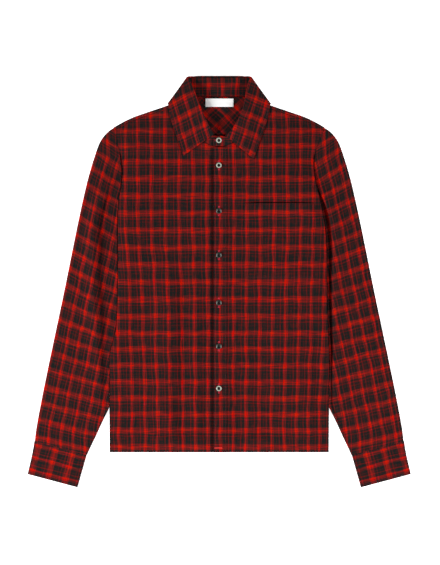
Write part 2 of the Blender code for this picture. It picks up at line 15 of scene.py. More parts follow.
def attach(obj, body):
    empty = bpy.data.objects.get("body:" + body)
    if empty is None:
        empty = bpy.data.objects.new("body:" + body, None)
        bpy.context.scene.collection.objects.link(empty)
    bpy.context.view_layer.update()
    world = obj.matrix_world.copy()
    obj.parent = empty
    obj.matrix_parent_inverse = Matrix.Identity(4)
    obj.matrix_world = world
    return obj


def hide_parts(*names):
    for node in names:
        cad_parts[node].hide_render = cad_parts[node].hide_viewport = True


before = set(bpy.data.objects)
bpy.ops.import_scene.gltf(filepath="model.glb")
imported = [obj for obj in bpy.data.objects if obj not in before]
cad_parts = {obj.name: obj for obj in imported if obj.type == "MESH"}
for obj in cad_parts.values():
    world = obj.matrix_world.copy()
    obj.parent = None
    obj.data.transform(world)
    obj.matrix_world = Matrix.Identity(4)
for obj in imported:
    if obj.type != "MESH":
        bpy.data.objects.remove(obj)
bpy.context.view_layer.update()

# Table and light ------------------------
# The shirt lies on a white table and is seen from straight above. Two soft boxes stand low at its sides, the
# left one stronger, with a weak fill from the hem's end.

MM = 0.001
MM_PER_PX = 2.0
VIEW_HEIGHT_PX = 565
CAMERA_HEIGHT = 3200.0
VIEW_CENTRE = (1.6, -1.8)
SENSOR_MM = 36.0
TABLE_HALF, TABLE_Z = 14.0, -0.0006  # in metres


def add_to_scene(name, data):
    """Puts the camera, a lamp or a mesh built with bmesh in the scene."""
    if isinstance(data, bmesh.types.BMesh):
        built, data = data, bpy.data.meshes.new(name)
        built.to_mesh(data)
        built.free()
    made = bpy.data.objects.new(name, data)
    bpy.context.scene.collection.objects.link(made)
    return made


camera_data = bpy.data.cameras.new("camera")
camera = add_to_scene("camera", camera_data)
bpy.context.scene.camera = camera
camera.location = Vector((VIEW_CENTRE[0], VIEW_CENTRE[1], CAMERA_HEIGHT)) * MM
camera_data.sensor_fit = "VERTICAL"
camera_data.sensor_height = SENSOR_MM
camera_data.lens = SENSOR_MM * CAMERA_HEIGHT / (VIEW_HEIGHT_PX * MM_PER_PX)

table_bm = bmesh.new()
bmesh.ops.create_grid(table_bm, x_segments=1, y_segments=1, size=TABLE_HALF)
table = add_to_scene("table", table_bm)
table.location.z = TABLE_Z
table_paint = bpy.data.materials.new("table_white")
table_paint.use_nodes = True
table_shader = table_paint.node_tree.nodes["Principled BSDF"]
table_shader.inputs["Base Color"].default_value = (0.97, 0.97, 0.97, 1)
table_shader.inputs["Roughness"].default_value = 0.9
table_shader.inputs["Specular IOR Level"].default_value = 0.1
table_shader.inputs["Emission Color"].default_value = (1, 1, 1, 1)
table_shader.inputs["Emission Strength"].default_value = 0.9
table.data.materials.append(table_paint)

SOFT_BOXES = (  # place in metres, side in metres, watts
    ((-2.9, -0.9, 1.5), 0.8, 166),
    ((2.9, -0.9, 1.5), 0.8, 116),
    ((0.2, -2.4, 2.1), 1.6, 12),
)
for place, side, watts in SOFT_BOXES:
    lamp = bpy.data.lights.new("soft_box", "AREA")
    lamp.shape = "SQUARE"
    lamp.size = side
    lamp.energy = watts
    box = add_to_scene("soft_box", lamp)
    box.location = place
    box.rotation_euler = (-Vector(place)).to_track_quat("-Z", "Y").to_euler()

world = bpy.data.worlds.new("room")
bpy.context.scene.world = world
world.use_nodes = True
world.node_tree.nodes["Background"].inputs["Color"].default_value = (1, 1, 1, 1)
world.node_tree.nodes["Background"].inputs["Strength"].default_value = 0.12
bpy.context.scene.view_settings.view_transform = "Standard"

# Back ----------------------
# One panel of brushed cotton flannel from the hem to the yoke, lying flat on the table under everything else.
# Cut with the check running straight down, sewn to the fronts at the sides.

WALL = 1.4
GAP = 0.4
LAYER = WALL + GAP
HEM_Y = -341.0
UNDERARM_Y = 172.0
YOKE_SEAM_Y = 264.0


class Curve:
    """A soft curve through a few points, read at any key between the first and the last."""

    def __init__(self, keys, values):
        self.keys, self.values = zip(*sorted(zip(keys, values)))
        slopes = []
        for k0, k1, v0, v1 in zip(self.keys, self.keys[1:], self.values, self.values[1:]):
            slopes.append((v1 - v0) / (k1 - k0))
        inner = [(a + b) / 2 for a, b in zip(slopes, slopes[1:])]
        self.tangents = [slopes[0]] + inner + [slopes[-1]]

    def __call__(self, at):
        at = min(max(at, self.keys[0]), self.keys[-1])
        low = min(bisect_right(self.keys, at), len(self.keys) - 1) - 1
        step = self.keys[low + 1] - self.keys[low]
        t = (at - self.keys[low]) / step
        lead = self.tangents[low] * (1 - t) - self.tangents[low + 1] * t
        start = self.values[low] * (1 + 2 * t) * (1 - t) ** 2
        return start + self.values[low + 1] * t * t * (3 - 2 * t) + step * t * (1 - t) * lead


def column(rows, name):
    return [getattr(row, name) for row in rows]


def ease(share):
    """0 to 1 with soft ends."""
    share = min(max(share, 0.0), 1.0)
    return share * share * (3 - 2 * share)


def steps(start, end, most):
    """Even steps from start to end, none longer than most."""
    count = max(1, math.ceil(abs(end - start) / most))
    return [start + (end - start) * index / count for index in range(count + 1)]


def between(rows, places):
    """Rows read softly in between those of a list, one at each place along it."""
    curves = [Curve(range(len(rows)), values) for values in zip(*rows)]
    return [rows[0]._make(curve(at) for curve in curves) for at in places]


BodyEdge = namedtuple("BodyEdge", "y left right")
BODY_EDGES = (  # half widths at the side seams, then up the armholes from the underarm
    BodyEdge(HEM_Y, 219.0, 219.0),
    BodyEdge(-200, 219.0, 219.0),
    BodyEdge(-140, 217.0, 218.5),
    BodyEdge(-95, 206.0, 216.5),
    BodyEdge(-50, 203.0, 215.0),
    BodyEdge(7, 202.0, 214.0),
    BodyEdge(57, 202.0, 214.0),
    BodyEdge(107, 202.0, 210.5),
    BodyEdge(150, 201.5, 203.5),
    BodyEdge(UNDERARM_Y, 200.0, 199.0),
    BodyEdge(190, 197.0, 194.5),
    BodyEdge(221, 195.0, 190.0),
    BodyEdge(253, 198.5, 191.5),
    BodyEdge(283, 204.0, 200.0),
    BodyEdge(308, 211.0, 211.0),
)
edge_left = Curve(column(BODY_EDGES, "y"), column(BODY_EDGES, "left"))
edge_right = Curve(column(BODY_EDGES, "y"), column(BODY_EDGES, "right"))


def body_edge(y, side):
    return edge_left(y) if side < 0 else edge_right(y)


# The check repeats every 26.6 across and every 34 down on flat cloth. Where the body turns away or a fold
# takes cloth up, the bands lie closer: the warp's past its sixth band, the weft's by the hem and shoulders.
WARP_PITCH, WEFT_PITCH = 26.6, 34.0
WARP_START = 1.0
SIDE_BAND = 6
Level = namedtuple("Level", "y left left_side right right_side")  # the warp's pitch and its pitch at the side
CHEST = Level(133.0, 27.6, 23.3, 26.7, 24.3)
WAIST = Level(-57.0, 26.0, 24.3, 26.1, 24.2)
HEM = Level(-277.0, 25.0, 26.0, 25.4, 22.5)
WEFT_START = -329.0
WAIST_BAND, HEM_WEFT = 7.5, 32.4
SHOULDER_BAND, CHEST_WEFT, SHOULDER_WEFT = 17, 34.4, 30.5


def warp_band(x, level):
    away = abs(x - WARP_START)
    pitch, side_pitch = (level.left, level.left_side) if x < WARP_START else (level.right, level.right_side)
    band = min(away / pitch, SIDE_BAND) + max(0, away - SIDE_BAND * pitch) / side_pitch
    return math.copysign(band, x - WARP_START)


def weft_band(y):
    up = y - WEFT_START
    chest_from = WAIST_BAND * HEM_WEFT
    shoulder_from = chest_from + (SHOULDER_BAND - WAIST_BAND) * CHEST_WEFT
    band = min(up, chest_from) / HEM_WEFT
    band += max(0, min(up, shoulder_from) - chest_from) / CHEST_WEFT
    return band + max(0, up - shoulder_from) / SHOULDER_WEFT


def body_check(x, y):
    """The warp and weft bands a point of the body lies on, counted from the front's middle and the hem."""
    other = CHEST if y > WAIST.y else HEM
    share = ease((y - WAIST.y) / (other.y - WAIST.y))
    at_waist = warp_band(x, WAIST)
    return at_waist + share * (warp_band(x, other) - at_waist), weft_band(y)


def cloth(name, columns, rows, place, check, wall=WALL, grow=1, missing=None, rim=0.5, material=None):
    """A grid of cloth put in place point by point, with its check as a UV map, its wall and soft edges."""
    bm = bmesh.new()
    wide, long = len(columns) - 1, len(rows) - 1
    bmesh.ops.create_grid(bm, x_segments=wide, y_segments=long, size=0.5)
    if missing:
        holes = []
        for face in bm.faces:
            centre = face.calc_center_median()
            if missing(int((centre.x + 0.5) * wide), int((centre.y + 0.5) * long)):
                holes.append(face)
        bmesh.ops.delete(bm, geom=holes, context="FACES")
    bands = {}
    for vert in bm.verts:
        spot, row = columns[round((vert.co.x + 0.5) * wide)], rows[round((vert.co.y + 0.5) * long)]
        point = Vector(place(spot, row))
        bands[vert] = check(point, spot, row)
        vert.co = point * MM
    uv = bm.loops.layers.uv.new("check")
    for face in bm.faces:
        face.smooth = True
        for loop in face.loops:
            loop[uv].uv = bands[loop.vert]
    bmesh.ops.remove_doubles(bm, verts=bm.verts, dist=0.01 * MM)
    piece = add_to_scene(name, bm)
    piece.data.materials.append(material or flannel_cloth)
    solid = piece.modifiers.new("Wall", "SOLIDIFY")
    solid.thickness = wall * MM
    solid.offset = grow
    soften = piece.modifiers.new("Rim", "BEVEL")
    soften.width = rim * MM
    soften.segments = 2
    soften.limit_method = "ANGLE"
    soften.angle_limit = math.radians(60)
    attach(piece, "root")
    return piece


class Field:
    """A number that varies over a surface: a socket, with Python's operators adding its Math nodes."""

    def __init__(self, tree, socket):
        self.tree, self.socket = tree, socket

    def math(self, operation, *values):
        node = self.tree.nodes.new("ShaderNodeMath")
        node.operation = operation
        for slot, value in zip(node.inputs, values):
            if isinstance(value, Field):
                self.tree.links.new(value.socket, slot)
            else:
                slot.default_value = value
        return Field(self.tree, node.outputs[0])

    def __add__(self, other):
        return self.math("ADD", self, other)

    def __sub__(self, other):
        return self.math("SUBTRACT", self, other)

    def __mul__(self, other):
        return self.math("MULTIPLY", self, other)


class Weave:
    """The node tree of one material, with one method for any node."""

    def __init__(self, name):
        self.material = bpy.data.materials.new(name)
        self.material.use_nodes = True
        self.tree = self.material.node_tree
        self.shader = self.tree.nodes["Principled BSDF"]

    def node(self, kind, settings, inputs, output=0):
        made = self.tree.nodes.new("ShaderNode" + kind)
        for name, value in settings.items():
            setattr(made, name, value)
        for slot, value in inputs.items():
            if isinstance(value, Field):
                self.tree.links.new(value.socket, made.inputs[slot])
            else:
                made.inputs[slot].default_value = value
        return Field(self.tree, made.outputs[output])

    def mix(self, share, a, b):
        settings = {"data_type": "RGBA", "clamp_factor": True}
        return self.node("Mix", settings, {"Factor": share, 6: a, 7: b}, output=2)

    def feed(self, slot, value):
        self.tree.links.new(value.socket, self.shader.inputs[slot])

    def fix(self, **values):
        for slot, value in values.items():
            self.shader.inputs[slot.replace("_", " ")].default_value = value


Stripe = namedtuple("Stripe", "centre half soft")  # as shares of the check's repeat
WARP_BROAD, WARP_THIN = Stripe(0.025, 0.088, 0.045), Stripe(0.185, 0.025, 0.03)
WEFT_BROAD, WEFT_CORE = Stripe(-0.03, 0.18, 0.04), Stripe(-0.03, 0.045, 0.05)
WARP_LINE, WEFT_LINE = Stripe(-0.325, 0.034, 0.03), Stripe(-0.355, 0.032, 0.028)
WARP_FAINT, WEFT_FAINT = Stripe(0.46, 0.05, 0.04), Stripe(0.47, 0.05, 0.04)


def stripe(weave, phase, shape):
    """1 on a stripe of the check and 0 beside it, with soft edges where the yarns mix."""
    away = phase.math("ABSOLUTE", phase - shape.centre)
    settings = {"interpolation_type": "SMOOTHSTEP"}
    inputs = {"Value": away, "From Min": shape.half + shape.soft, "From Max": shape.half - shape.soft}
    return weave.node("MapRange", settings, inputs)


CHARCOAL = (0.0072, 0.0102, 0.0098, 1)
WINE = (0.20, 0.0028, 0.0016, 1)
RED = (0.47, 0.0048, 0.0002, 1)
CRIMSON = (0.40, 0.006, 0.014, 1)
ONE_YARN_RED = 0.27  # how red the cloth is where only the warp or only the weft is red
TWILL_PITCH = 1.1
YARN_HUE = 0.008  # how far the yarns differ in hue, from orange red to crimson
WANDER_ACROSS, WANDER_DOWN = 0.24, 0.16  # how far the bands stray, as shares of the check's repeat
YARN_RUN = 2.2  # how fast a streak changes along its yarn, for each repeat of the check


def flannel():
    """Brushed twill flannel: red and charcoal yarns that cross, thin wine overlines, and a short nap."""
    weave = Weave("flannel")
    coords = weave.node("UVMap", {"uv_map": "check"}, {})
    place = weave.node("TexCoord", {}, {}, output="Object")
    stray_across = weave.node("TexNoise", {}, {"Vector": place, "Scale": 22.0, "Detail": 1.0})
    settings = {"Vector": place, "Scale": 26.0, "Detail": 1.0, "Distortion": 0.4}
    stray_down = weave.node("TexNoise", {}, settings)
    bands = weave.node("SeparateXYZ", {}, {"Vector": coords})
    across = Field(weave.tree, bands.socket.node.outputs["X"])
    down = Field(weave.tree, bands.socket.node.outputs["Y"])
    u = across + (stray_across - 0.5) * WANDER_ACROSS
    v = down + (stray_down - 0.5) * WANDER_DOWN
    warp_phase = u.math("FRACT", u + 0.5) - 0.5
    weft_phase = v.math("FRACT", v + 0.5) - 0.5

    # Streaks along single yarns: long one way and a yarn wide the other way.
    warp_yarns = weave.node("CombineXYZ", {}, {"X": across * WARP_PITCH, "Y": down * YARN_RUN, "Z": 0.0})
    weft_yarns = weave.node("CombineXYZ", {}, {"X": across * YARN_RUN, "Y": down * WEFT_PITCH, "Z": 3.0})
    warp_streak = weave.node("TexNoise", {}, {"Vector": warp_yarns, "Scale": 0.42, "Detail": 3.0})
    weft_streak = weave.node("TexNoise", {}, {"Vector": weft_yarns, "Scale": 0.42, "Detail": 3.0})

    warp = stripe(weave, warp_phase, WARP_BROAD) + stripe(weave, warp_phase, WARP_THIN) * 0.75
    weft = stripe(weave, weft_phase, WEFT_BROAD) * 0.62 + stripe(weave, weft_phase, WEFT_CORE) * 0.5
    warp_line, weft_line = stripe(weave, warp_phase, WARP_LINE), stripe(weave, weft_phase, WEFT_LINE)
    warp_faint, weft_faint = stripe(weave, warp_phase, WARP_FAINT), stripe(weave, weft_phase, WEFT_FAINT)

    warp = warp * (warp_streak * 4.4 - 1.15)
    weft = weft * (weft_streak * 4.0 - 0.95)
    red = (warp + weft) * ONE_YARN_RED + warp * weft * (1 - 2 * ONE_YARN_RED)
    wine = warp_line * 0.42 + weft_line * 0.32 + warp_faint * 0.10 + weft_faint * 0.10
    wine = wine + (warp_streak - 0.5) * 0.65 + (weft_streak - 0.5) * 0.55
    ground = weave.mix(wine, CHARCOAL, WINE)
    body = weave.mix(red, ground, RED)
    overline = weft_line * warp * 0.4 + warp_line * weft * 0.3
    dyed = weave.mix(overline, body, CRIMSON)

    # The twill's diagonal ribs and the nap over them.
    rib_place = across * (WARP_PITCH / TWILL_PITCH) + down * (WEFT_PITCH / TWILL_PITCH)
    rib = rib_place.math("SINE", rib_place * math.tau)
    fuzz = weave.node("TexNoise", {}, {"Vector": place, "Scale": 900.0, "Detail": 4.0, "Roughness": 0.7})
    hue = (weft_streak - warp_streak) * YARN_HUE + 0.5
    value = rib * 0.07 + fuzz * 0.5 + 0.76
    shade = weave.node("HueSaturation", {}, {"Color": dyed, "Hue": hue, "Value": value})
    weave.feed("Base Color", shade)
    weave.feed("Roughness", fuzz * 0.16 + 0.82)
    height = rib * 0.35 + fuzz * 0.9 + warp_streak * 0.3 + weft_streak * 0.3
    bump = weave.node("Bump", {}, {"Height": height, "Strength": 0.35, "Distance": 0.00035})
    weave.feed("Normal", bump)
    weave.fix(Specular_IOR_Level=0.03, Sheen_Weight=0.03, Sheen_Roughness=0.5)
    weave.shader.inputs["Sheen Tint"].default_value = (1.0, 0.6, 0.52, 1)
    return weave.material


flannel_cloth = flannel()


Fold = namedtuple("Fold", "x_from y_from x_to y_to half_width height")  # height below 0 for a trough
FADE_IN, FADE_OUT = 4, 6  # a fold grows over the first quarter of its length and fades over the last sixth


def folded(folds, x, y):
    """How far the folds that pass a point raise or lower it."""
    height = 0.0
    for fold in folds:
        run = Vector((fold.x_to - fold.x_from, fold.y_to - fold.y_from))
        away = Vector((x - fold.x_from, y - fold.y_from))
        along = away.dot(run) / run.length_squared
        if 0 < along < 1:
            fade = ease(along * FADE_IN) * ease((1 - along) * FADE_OUT)
            height += fold.height * fade * (1 - ease(abs(away.cross(run)) / run.length / fold.half_width))
    return height


BACK_FOLDS = (  # the only places where the back doesn't touch the table
    Fold(-46, 215, -40, -290, 13, 1.2),
    Fold(72, 160, 60, -310, 15, 1.3),
    Fold(136, 110, 128, -250, 14, 1.2),
    Fold(-150, 60, -138, -300, 14, 1.2),
)


def back_place(share, y):
    x = share * body_edge(y, share)
    return x, y, folded(BACK_FOLDS, x, y)


def plan_check(point, spot, row):
    return body_check(point.x, point.y)


back = cloth("back_panel", steps(-1, 1, 0.04), steps(HEM_Y, YOKE_SEAM_Y - GAP, 8), back_place, plan_check)
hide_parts("back")

# Yokes ---------------------
# Two layers of flannel across the shoulders. The outer one folds over the shoulders to the front, the inner
# one is cut on the bias and shows inside the neck. Both are caught in the collar seam.

SHOULDER_DROP = 7.4  # the shoulder seam lies this far in front of the shoulder's fold
CORNER_DROP = 3.0  # the outer yoke meets the sleeves this far below the fold
SHOULDER_GAP = 1.2
ARMHOLE_GAP = -0.8
NECK_HALF = 82.0
NECK_BACK_Y = 369.0
NECK_DIP, NECK_LEVEL = 2.5, 40.0  # the neckline is level this far out, then dips towards the shoulders
YOKE_HALF = 211.0
FOLD = (WALL + LAYER + LAYER) / 2
INNER_STOP = 5.6
INNER_WIDTH = 0.99
LIFT_FOOT_Y = 338.0
LIFT_RUN = 11.0
LIFT_LEAD = 2.6
BIAS = math.radians(45)
BIAS_Y, BIAS_WARP, BIAS_WEFT = 318.0, 0.35, 0.1  # the bands that cross in the middle at this height

Shoulder = namedtuple("Shoulder", "x y")
SHOULDER = (  # where the outer yoke folds over to the front
    Shoulder(NECK_HALF, 360.0),
    Shoulder(104, 351.5),
    Shoulder(143, 338.5),
    Shoulder(175, 327.0),
    Shoulder(199, 315.0),
    Shoulder(211, 308.0),
)
shoulder_line = Curve(column(SHOULDER, "x"), column(SHOULDER, "y"))


def shoulder(x):
    return shoulder_line(abs(x))


def lift(y):
    """How far the fall of the collar raises what lies on it at the back of the neck."""
    return LAYER * ease((y - LIFT_FOOT_Y) / LIFT_RUN)


def neckline(x):
    return NECK_BACK_Y - NECK_DIP * ease((abs(x) - NECK_LEVEL) / (NECK_HALF - NECK_LEVEL)) ** 2


def drawn_in(x, y):
    """Squeezes the yokes between the armholes, which draw in below the shoulders."""
    return x * (body_edge(y, x) - ARMHOLE_GAP) / YOKE_HALF


def yoke_place(x, row):
    kind, step = row
    fold_y = shoulder(x) - CORNER_DROP
    across = drawn_in(x, fold_y)
    top = shoulder(across) - FOLD if abs(x) >= NECK_HALF else neckline(x)
    if kind == "plate":
        y = YOKE_SEAM_Y + step * (top - YOKE_SEAM_Y)
        return drawn_in(x, min(y, fold_y)), y, lift(y)
    if kind == "fold":
        turn = math.radians(step)
        return across, top + FOLD * math.cos(turn), lift(top) + FOLD * (1 + math.sin(turn))
    seam = drawn_in(x, shoulder(x) - SHOULDER_DROP)
    return seam, shoulder(seam) - SHOULDER_DROP + SHOULDER_GAP, lift(top) + 2 * FOLD


yoke_side = steps(-YOKE_HALF, -NECK_HALF, 5)
yoke_columns = yoke_side + steps(-NECK_HALF, NECK_HALF, 5)[1:-1] + [-x for x in reversed(yoke_side)]
yoke_plate = [("plate", share) for share in steps(0, 1, 0.05)]
yoke_rows = yoke_plate + [("fold", turn) for turn in steps(-75, 90, 15)] + [("strap", 1)]


def over_neck(i, j):
    return j >= len(yoke_plate) - 1 and -NECK_HALF <= yoke_columns[i] < NECK_HALF


back_yoke = cloth("outer_yoke", yoke_columns, yoke_rows, yoke_place, plan_check, missing=over_neck)
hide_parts("back_yoke")


def inner_yoke_place(x, share):
    top = shoulder(x) - INNER_STOP if abs(x) >= NECK_HALF else neckline(x)
    y = YOKE_SEAM_Y + GAP + share * (top - YOKE_SEAM_Y - GAP)
    return INNER_WIDTH * drawn_in(x, y), y, LAYER + lift(y + LIFT_LEAD)


def bias_check(point, spot, row):
    x, y = point.x, point.y - BIAS_Y
    across, up = x * math.cos(BIAS) + y * math.sin(BIAS), y * math.cos(BIAS) - x * math.sin(BIAS)
    return across / WARP_PITCH + BIAS_WARP, up / WEFT_PITCH + BIAS_WEFT


inner_yoke = cloth("inner_yoke_facing", yoke_columns, steps(0, 1, 0.05), inner_yoke_place, bias_check)
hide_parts("inner_yoke")

# Fronts --------------------
# Two panels of flannel with the check matched over the opening. The one on the right laps over the other.
# They are a little full, so soft folds run down from the chest to the hem.

LOFT = 2.3
EDGE_RUN = 24.0
FOLD_RUN = 8.0
NECK_RUN = 60.0
SHOULDER_RUN = 30.0
HEM_RUN = 34.0
HEM_LOFT = 0.4
NECK_CENTRE_Y = 335.0
NECK_REACH = 72.0
OVER_EDGE = -9.4
UNDER_EDGE = -9.0
STEP_START = 15.5
STEP_RUN = 11.5
STEP_WIDER, STEP_WIDER_Y, STEP_WIDER_RUN = 14.0, 258.0, 10.0  # the step moves out under the stand
YOKE_STEP_LEAD, YOKE_STEP_RUN = 14.0, 12.0  # the fronts rise onto the yokes before they reach them
SEAM = 0.3
ARMHOLE_LAP, LAP_FROM_Y, LAP_RUN = 1.0, -200.0, 20.0
OPENING_X, OPENING_RUN, OPENING_DROP = -11.6, 3.0, 1.6
SIDE_SWELL, SIDE_SWELL_RUN, SIDE_SWELL_FADE = 4.6, 6.0, 60.0  # how full the sides are beside the sleeves
SIDE_SWELL_FOOT_Y, SIDE_SWELL_EASE = -215.0, 80.0
SIDE_SWELL_TOP_LEFT, SIDE_SWELL_TOP_RIGHT = 200.0, 270.0

FRONT_FOLDS = (
    Fold(-70, 60, -70, -334, 15, -4.4),
    Fold(-102, 60, -104, -330, 36, 5.4),
    Fold(-46, 20, -44, -330, 20, 3.4),
    Fold(-88, -205, -72, -338, 14, -2.0),
    Fold(-28, -190, -30, -338, 9, -1.6),
    Fold(38, -170, 38, -338, 15, -2.2),
    Fold(60, -120, 62, -335, 17, 2.4),
    Fold(196, -60, 194, -338, 13, -4.4),
    Fold(172, 330, 166, -338, 110, 6.0),
    Fold(-164, 300, -158, 0, 70, 3.4),
    Fold(-150, -316, -14, -318, 24, 3.4),
    Fold(110, -318, 16, -316, 22, 2.6),
)


def lying(y):
    """Underside of a front that lies on the back, or on the two yokes higher up."""
    onto_yokes = ease((y - YOKE_SEAM_Y + YOKE_STEP_LEAD) / YOKE_STEP_RUN)
    return LAYER * (1 + onto_yokes) + lift(y + 2 * LIFT_LEAD)


def front_under(x, y, side):
    """Underside of the fronts, without the step of the one that lies on top."""
    edge = max(body_edge(y, side) - abs(x), 0)
    neck = math.hypot(x, y - NECK_CENTRE_Y) - NECK_REACH
    top = shoulder(x) - SHOULDER_DROP - y
    rise = LOFT * ease(edge / EDGE_RUN) * ease(neck / NECK_RUN) * ease(top / SHOULDER_RUN)
    rise *= HEM_LOFT + (1 - HEM_LOFT) * ease((y - HEM_Y) / HEM_RUN)
    wave = folded(FRONT_FOLDS, x, y) * ease(edge / FOLD_RUN) * ease(top / SHOULDER_RUN)
    swell_top = SIDE_SWELL_TOP_LEFT if side < 0 else SIDE_SWELL_TOP_RIGHT
    reach = min(y - SIDE_SWELL_FOOT_Y, swell_top - y) / SIDE_SWELL_EASE
    wave += SIDE_SWELL * ease(reach) * ease(edge / SIDE_SWELL_RUN) * (1 - ease(edge / SIDE_SWELL_FADE))
    return lying(y) + max(rise + wave, 0.0)


def over_under(x, y):
    """Underside of the front on top: a layer higher where it passes over the other one."""
    start = STEP_START + STEP_WIDER * ease((y - STEP_WIDER_Y) / STEP_WIDER_RUN)
    return front_under(x, y, 1) + LAYER * (1 - ease((x - start) / STEP_RUN))


def opening_under(x, y):
    """Underside of the lower front, which drops away before it passes under the other one."""
    return max(front_under(x, y, -1) - OPENING_DROP * (1 - ease((OPENING_X - x) / OPENING_RUN)), lying(y))


TopRow = namedtuple("TopRow", "inner_x inner_y edge_y")  # no inner_x where it is the front's own edge
FRONT_EDGE = (TopRow(None, UNDERARM_Y, UNDERARM_Y), TopRow(None, 192, 182), TopRow(None, 222, 201),
              TopRow(None, 248, 221), TopRow(None, 268.6, 240))
NECKLINE = (FRONT_EDGE[-1], TopRow(17.0, 272.5, 253), TopRow(41.0, 285.0, 264), TopRow(62.0, 306.0, 277),
            TopRow(72.0, 323.0, 286), TopRow(78.0, 338.0, 294), TopRow(81.6, 352.6, 301))


def front_maker(side, first, under):
    """Returns the function that places a share of the way out on a row of this front."""
    keys = range(len(NECKLINE))
    neck_x = Curve(keys, [first if row.inner_x is None else row.inner_x for row in NECKLINE])
    neck_y, arm_y = Curve(keys, column(NECKLINE, "inner_y")), Curve(keys, column(NECKLINE, "edge_y"))
    keys = range(len(FRONT_EDGE))
    lead_y, side_y = Curve(keys, column(FRONT_EDGE, "inner_y")), Curve(keys, column(FRONT_EDGE, "edge_y"))

    def place(share, row):
        zone, at = row
        inner, inner_y, edge_y = first, at, at
        if zone == "chest":
            inner_y, edge_y = lead_y(at), side_y(at)
        if zone == "neck":
            away = Vector((neck_x(at), neck_y(at) - NECK_CENTRE_Y)).normalized() * SEAM * ease(at)
            inner, inner_y, edge_y = neck_x(at) + away.x, neck_y(at) + away.y, arm_y(at)
        outer = body_edge(edge_y, side) + ARMHOLE_LAP * ease((edge_y - LAP_FROM_Y) / LAP_RUN)
        x = inner + share * (outer - inner)
        y = inner_y + share * (edge_y - inner_y)
        last = ease(at - len(NECKLINE) + 2) if zone == "neck" else 0.0
        y += last * (shoulder(x) - SHOULDER_DROP - y)
        return side * x, y, under(side * x, y)

    return place


front_rows = [("body", y) for y in steps(HEM_Y, UNDERARM_Y, 5)]
front_rows += [("chest", at) for at in steps(0, len(FRONT_EDGE) - 1, 0.25)[1:]]
front_rows += [("neck", at) for at in steps(0, len(NECKLINE) - 1, 0.2)[1:]]
front_columns = steps(0, 0.08, 0.008) + steps(0.08, 1, 0.018)[1:]

place_under = front_maker(-1, UNDER_EDGE, opening_under)
place_over = front_maker(1, OVER_EDGE, over_under)
under_front = cloth("front_panel_under", front_columns[::-1], front_rows, place_under, plan_check)
over_front = cloth("front_panel_over", front_columns, front_rows, place_over, plan_check)
for front, node in ((under_front, "front_left"), (over_front, "front_right")):
    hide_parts(node)

# Placket -------------------
# A folded strip of flannel sewn down the edge of the upper front, with one red warp band down its middle.

PLACKET_EDGE = -11.0
PLACKET_WIDTH = 26.5
PLACKET_SINK, PLACKET_SINK_RUN = 0.9, 4.0  # how the topstitching draws its inner edge down
SEWN_ON = WALL + 0.1  # how far a strip or patch lies above the underside of the front that it is sewn to


def placket_place(x, row):
    y = row[1] if row[0] == "body" else placket_y(row[1])
    sewn_down = PLACKET_SINK * ease((x - PLACKET_EDGE - PLACKET_WIDTH) / PLACKET_SINK_RUN + 1)
    return x, y, over_under(max(x, OVER_EDGE), y) + SEWN_ON - sewn_down


placket_y = Curve(range(len(FRONT_EDGE)), column(FRONT_EDGE, "inner_y"))
placket_rows = [row for row in front_rows if row[0] != "neck"]
placket_columns = steps(PLACKET_EDGE, PLACKET_EDGE + PLACKET_WIDTH, 2)
placket = cloth("placket", placket_columns, placket_rows, placket_place, plan_check)
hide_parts("front_placket")

# Pocket --------------------
# A patch pocket of the same flannel, its check matched to the front's, open at the top under a turned hem.

POCKET_LEFT, POCKET_RIGHT, POCKET_FOOT, POCKET_TOP = 50.0, 188.0, 7.0, 157.0
POCKET_SINK, POCKET_SINK_RUN = 0.9, 5.0
POCKET_GAPE, POCKET_GAPE_RUN = 1.6, 26.0


def pocket_place(x, y):
    """Drawn down at the three sewn edges, a little open along the top."""
    sewn_edge = min(x - POCKET_LEFT, POCKET_RIGHT - x, y - POCKET_FOOT)
    sink = POCKET_SINK * (1 - ease(sewn_edge / POCKET_SINK_RUN))
    sides = ease(min(x - POCKET_LEFT, POCKET_RIGHT - x) / POCKET_GAPE_RUN)
    gape = POCKET_GAPE * sides * ease((y - POCKET_TOP) / POCKET_GAPE_RUN + 1)
    return x, y, over_under(x, y) + SEWN_ON - sink + gape


pocket_columns = steps(POCKET_LEFT, POCKET_RIGHT, 2.5)
pocket = cloth("patch_pocket", pocket_columns, steps(POCKET_FOOT, POCKET_TOP, 2.5), pocket_place, plan_check)
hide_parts("chest_pocket")

# Collar --------------------
# A stand sewn to the neck and a fall that rolls over it, each two layers of flannel with interlining between.
# The leaves are cut so that their check runs along the outer edges.

ROLL = 2.0
ROLL_OUT = 5.0
EDGE_OUT = 4.3
STAND_TOP = 1.5
STAND_IN = 1.0
NECK_IN = 1.1
FALL_REST = 0.3
FALL_AHEAD = 5.0
REST_TO_Y, REST_RUN = 399.0, 7.4  # the leaves rest on the fronts while the roll is below this
LEAF_FINELY, SIDE_FINELY, BACK_FINELY = 5, 3, 4  # stations made for each step of the lists below
STAND_BAND_X, STAND_BAND_Y = 5.0, 393.0  # where two bands of the stand's check cross
STAND_WARP, STAND_WEFT = 29.0, 25.0

LeafCheck = namedtuple("LeafCheck", "square across down")  # a dark square and the steps to the next ones
LEAF_CHECK_LEFT = LeafCheck(Vector((-66.4, 313.6)), Vector((21.2, 10.6)), Vector((9.4, -32.4)))
LEAF_CHECK_RIGHT = LeafCheck(Vector((66.2, 311.2)), Vector((20.6, -8.6)), Vector((-10.0, -32.8)))

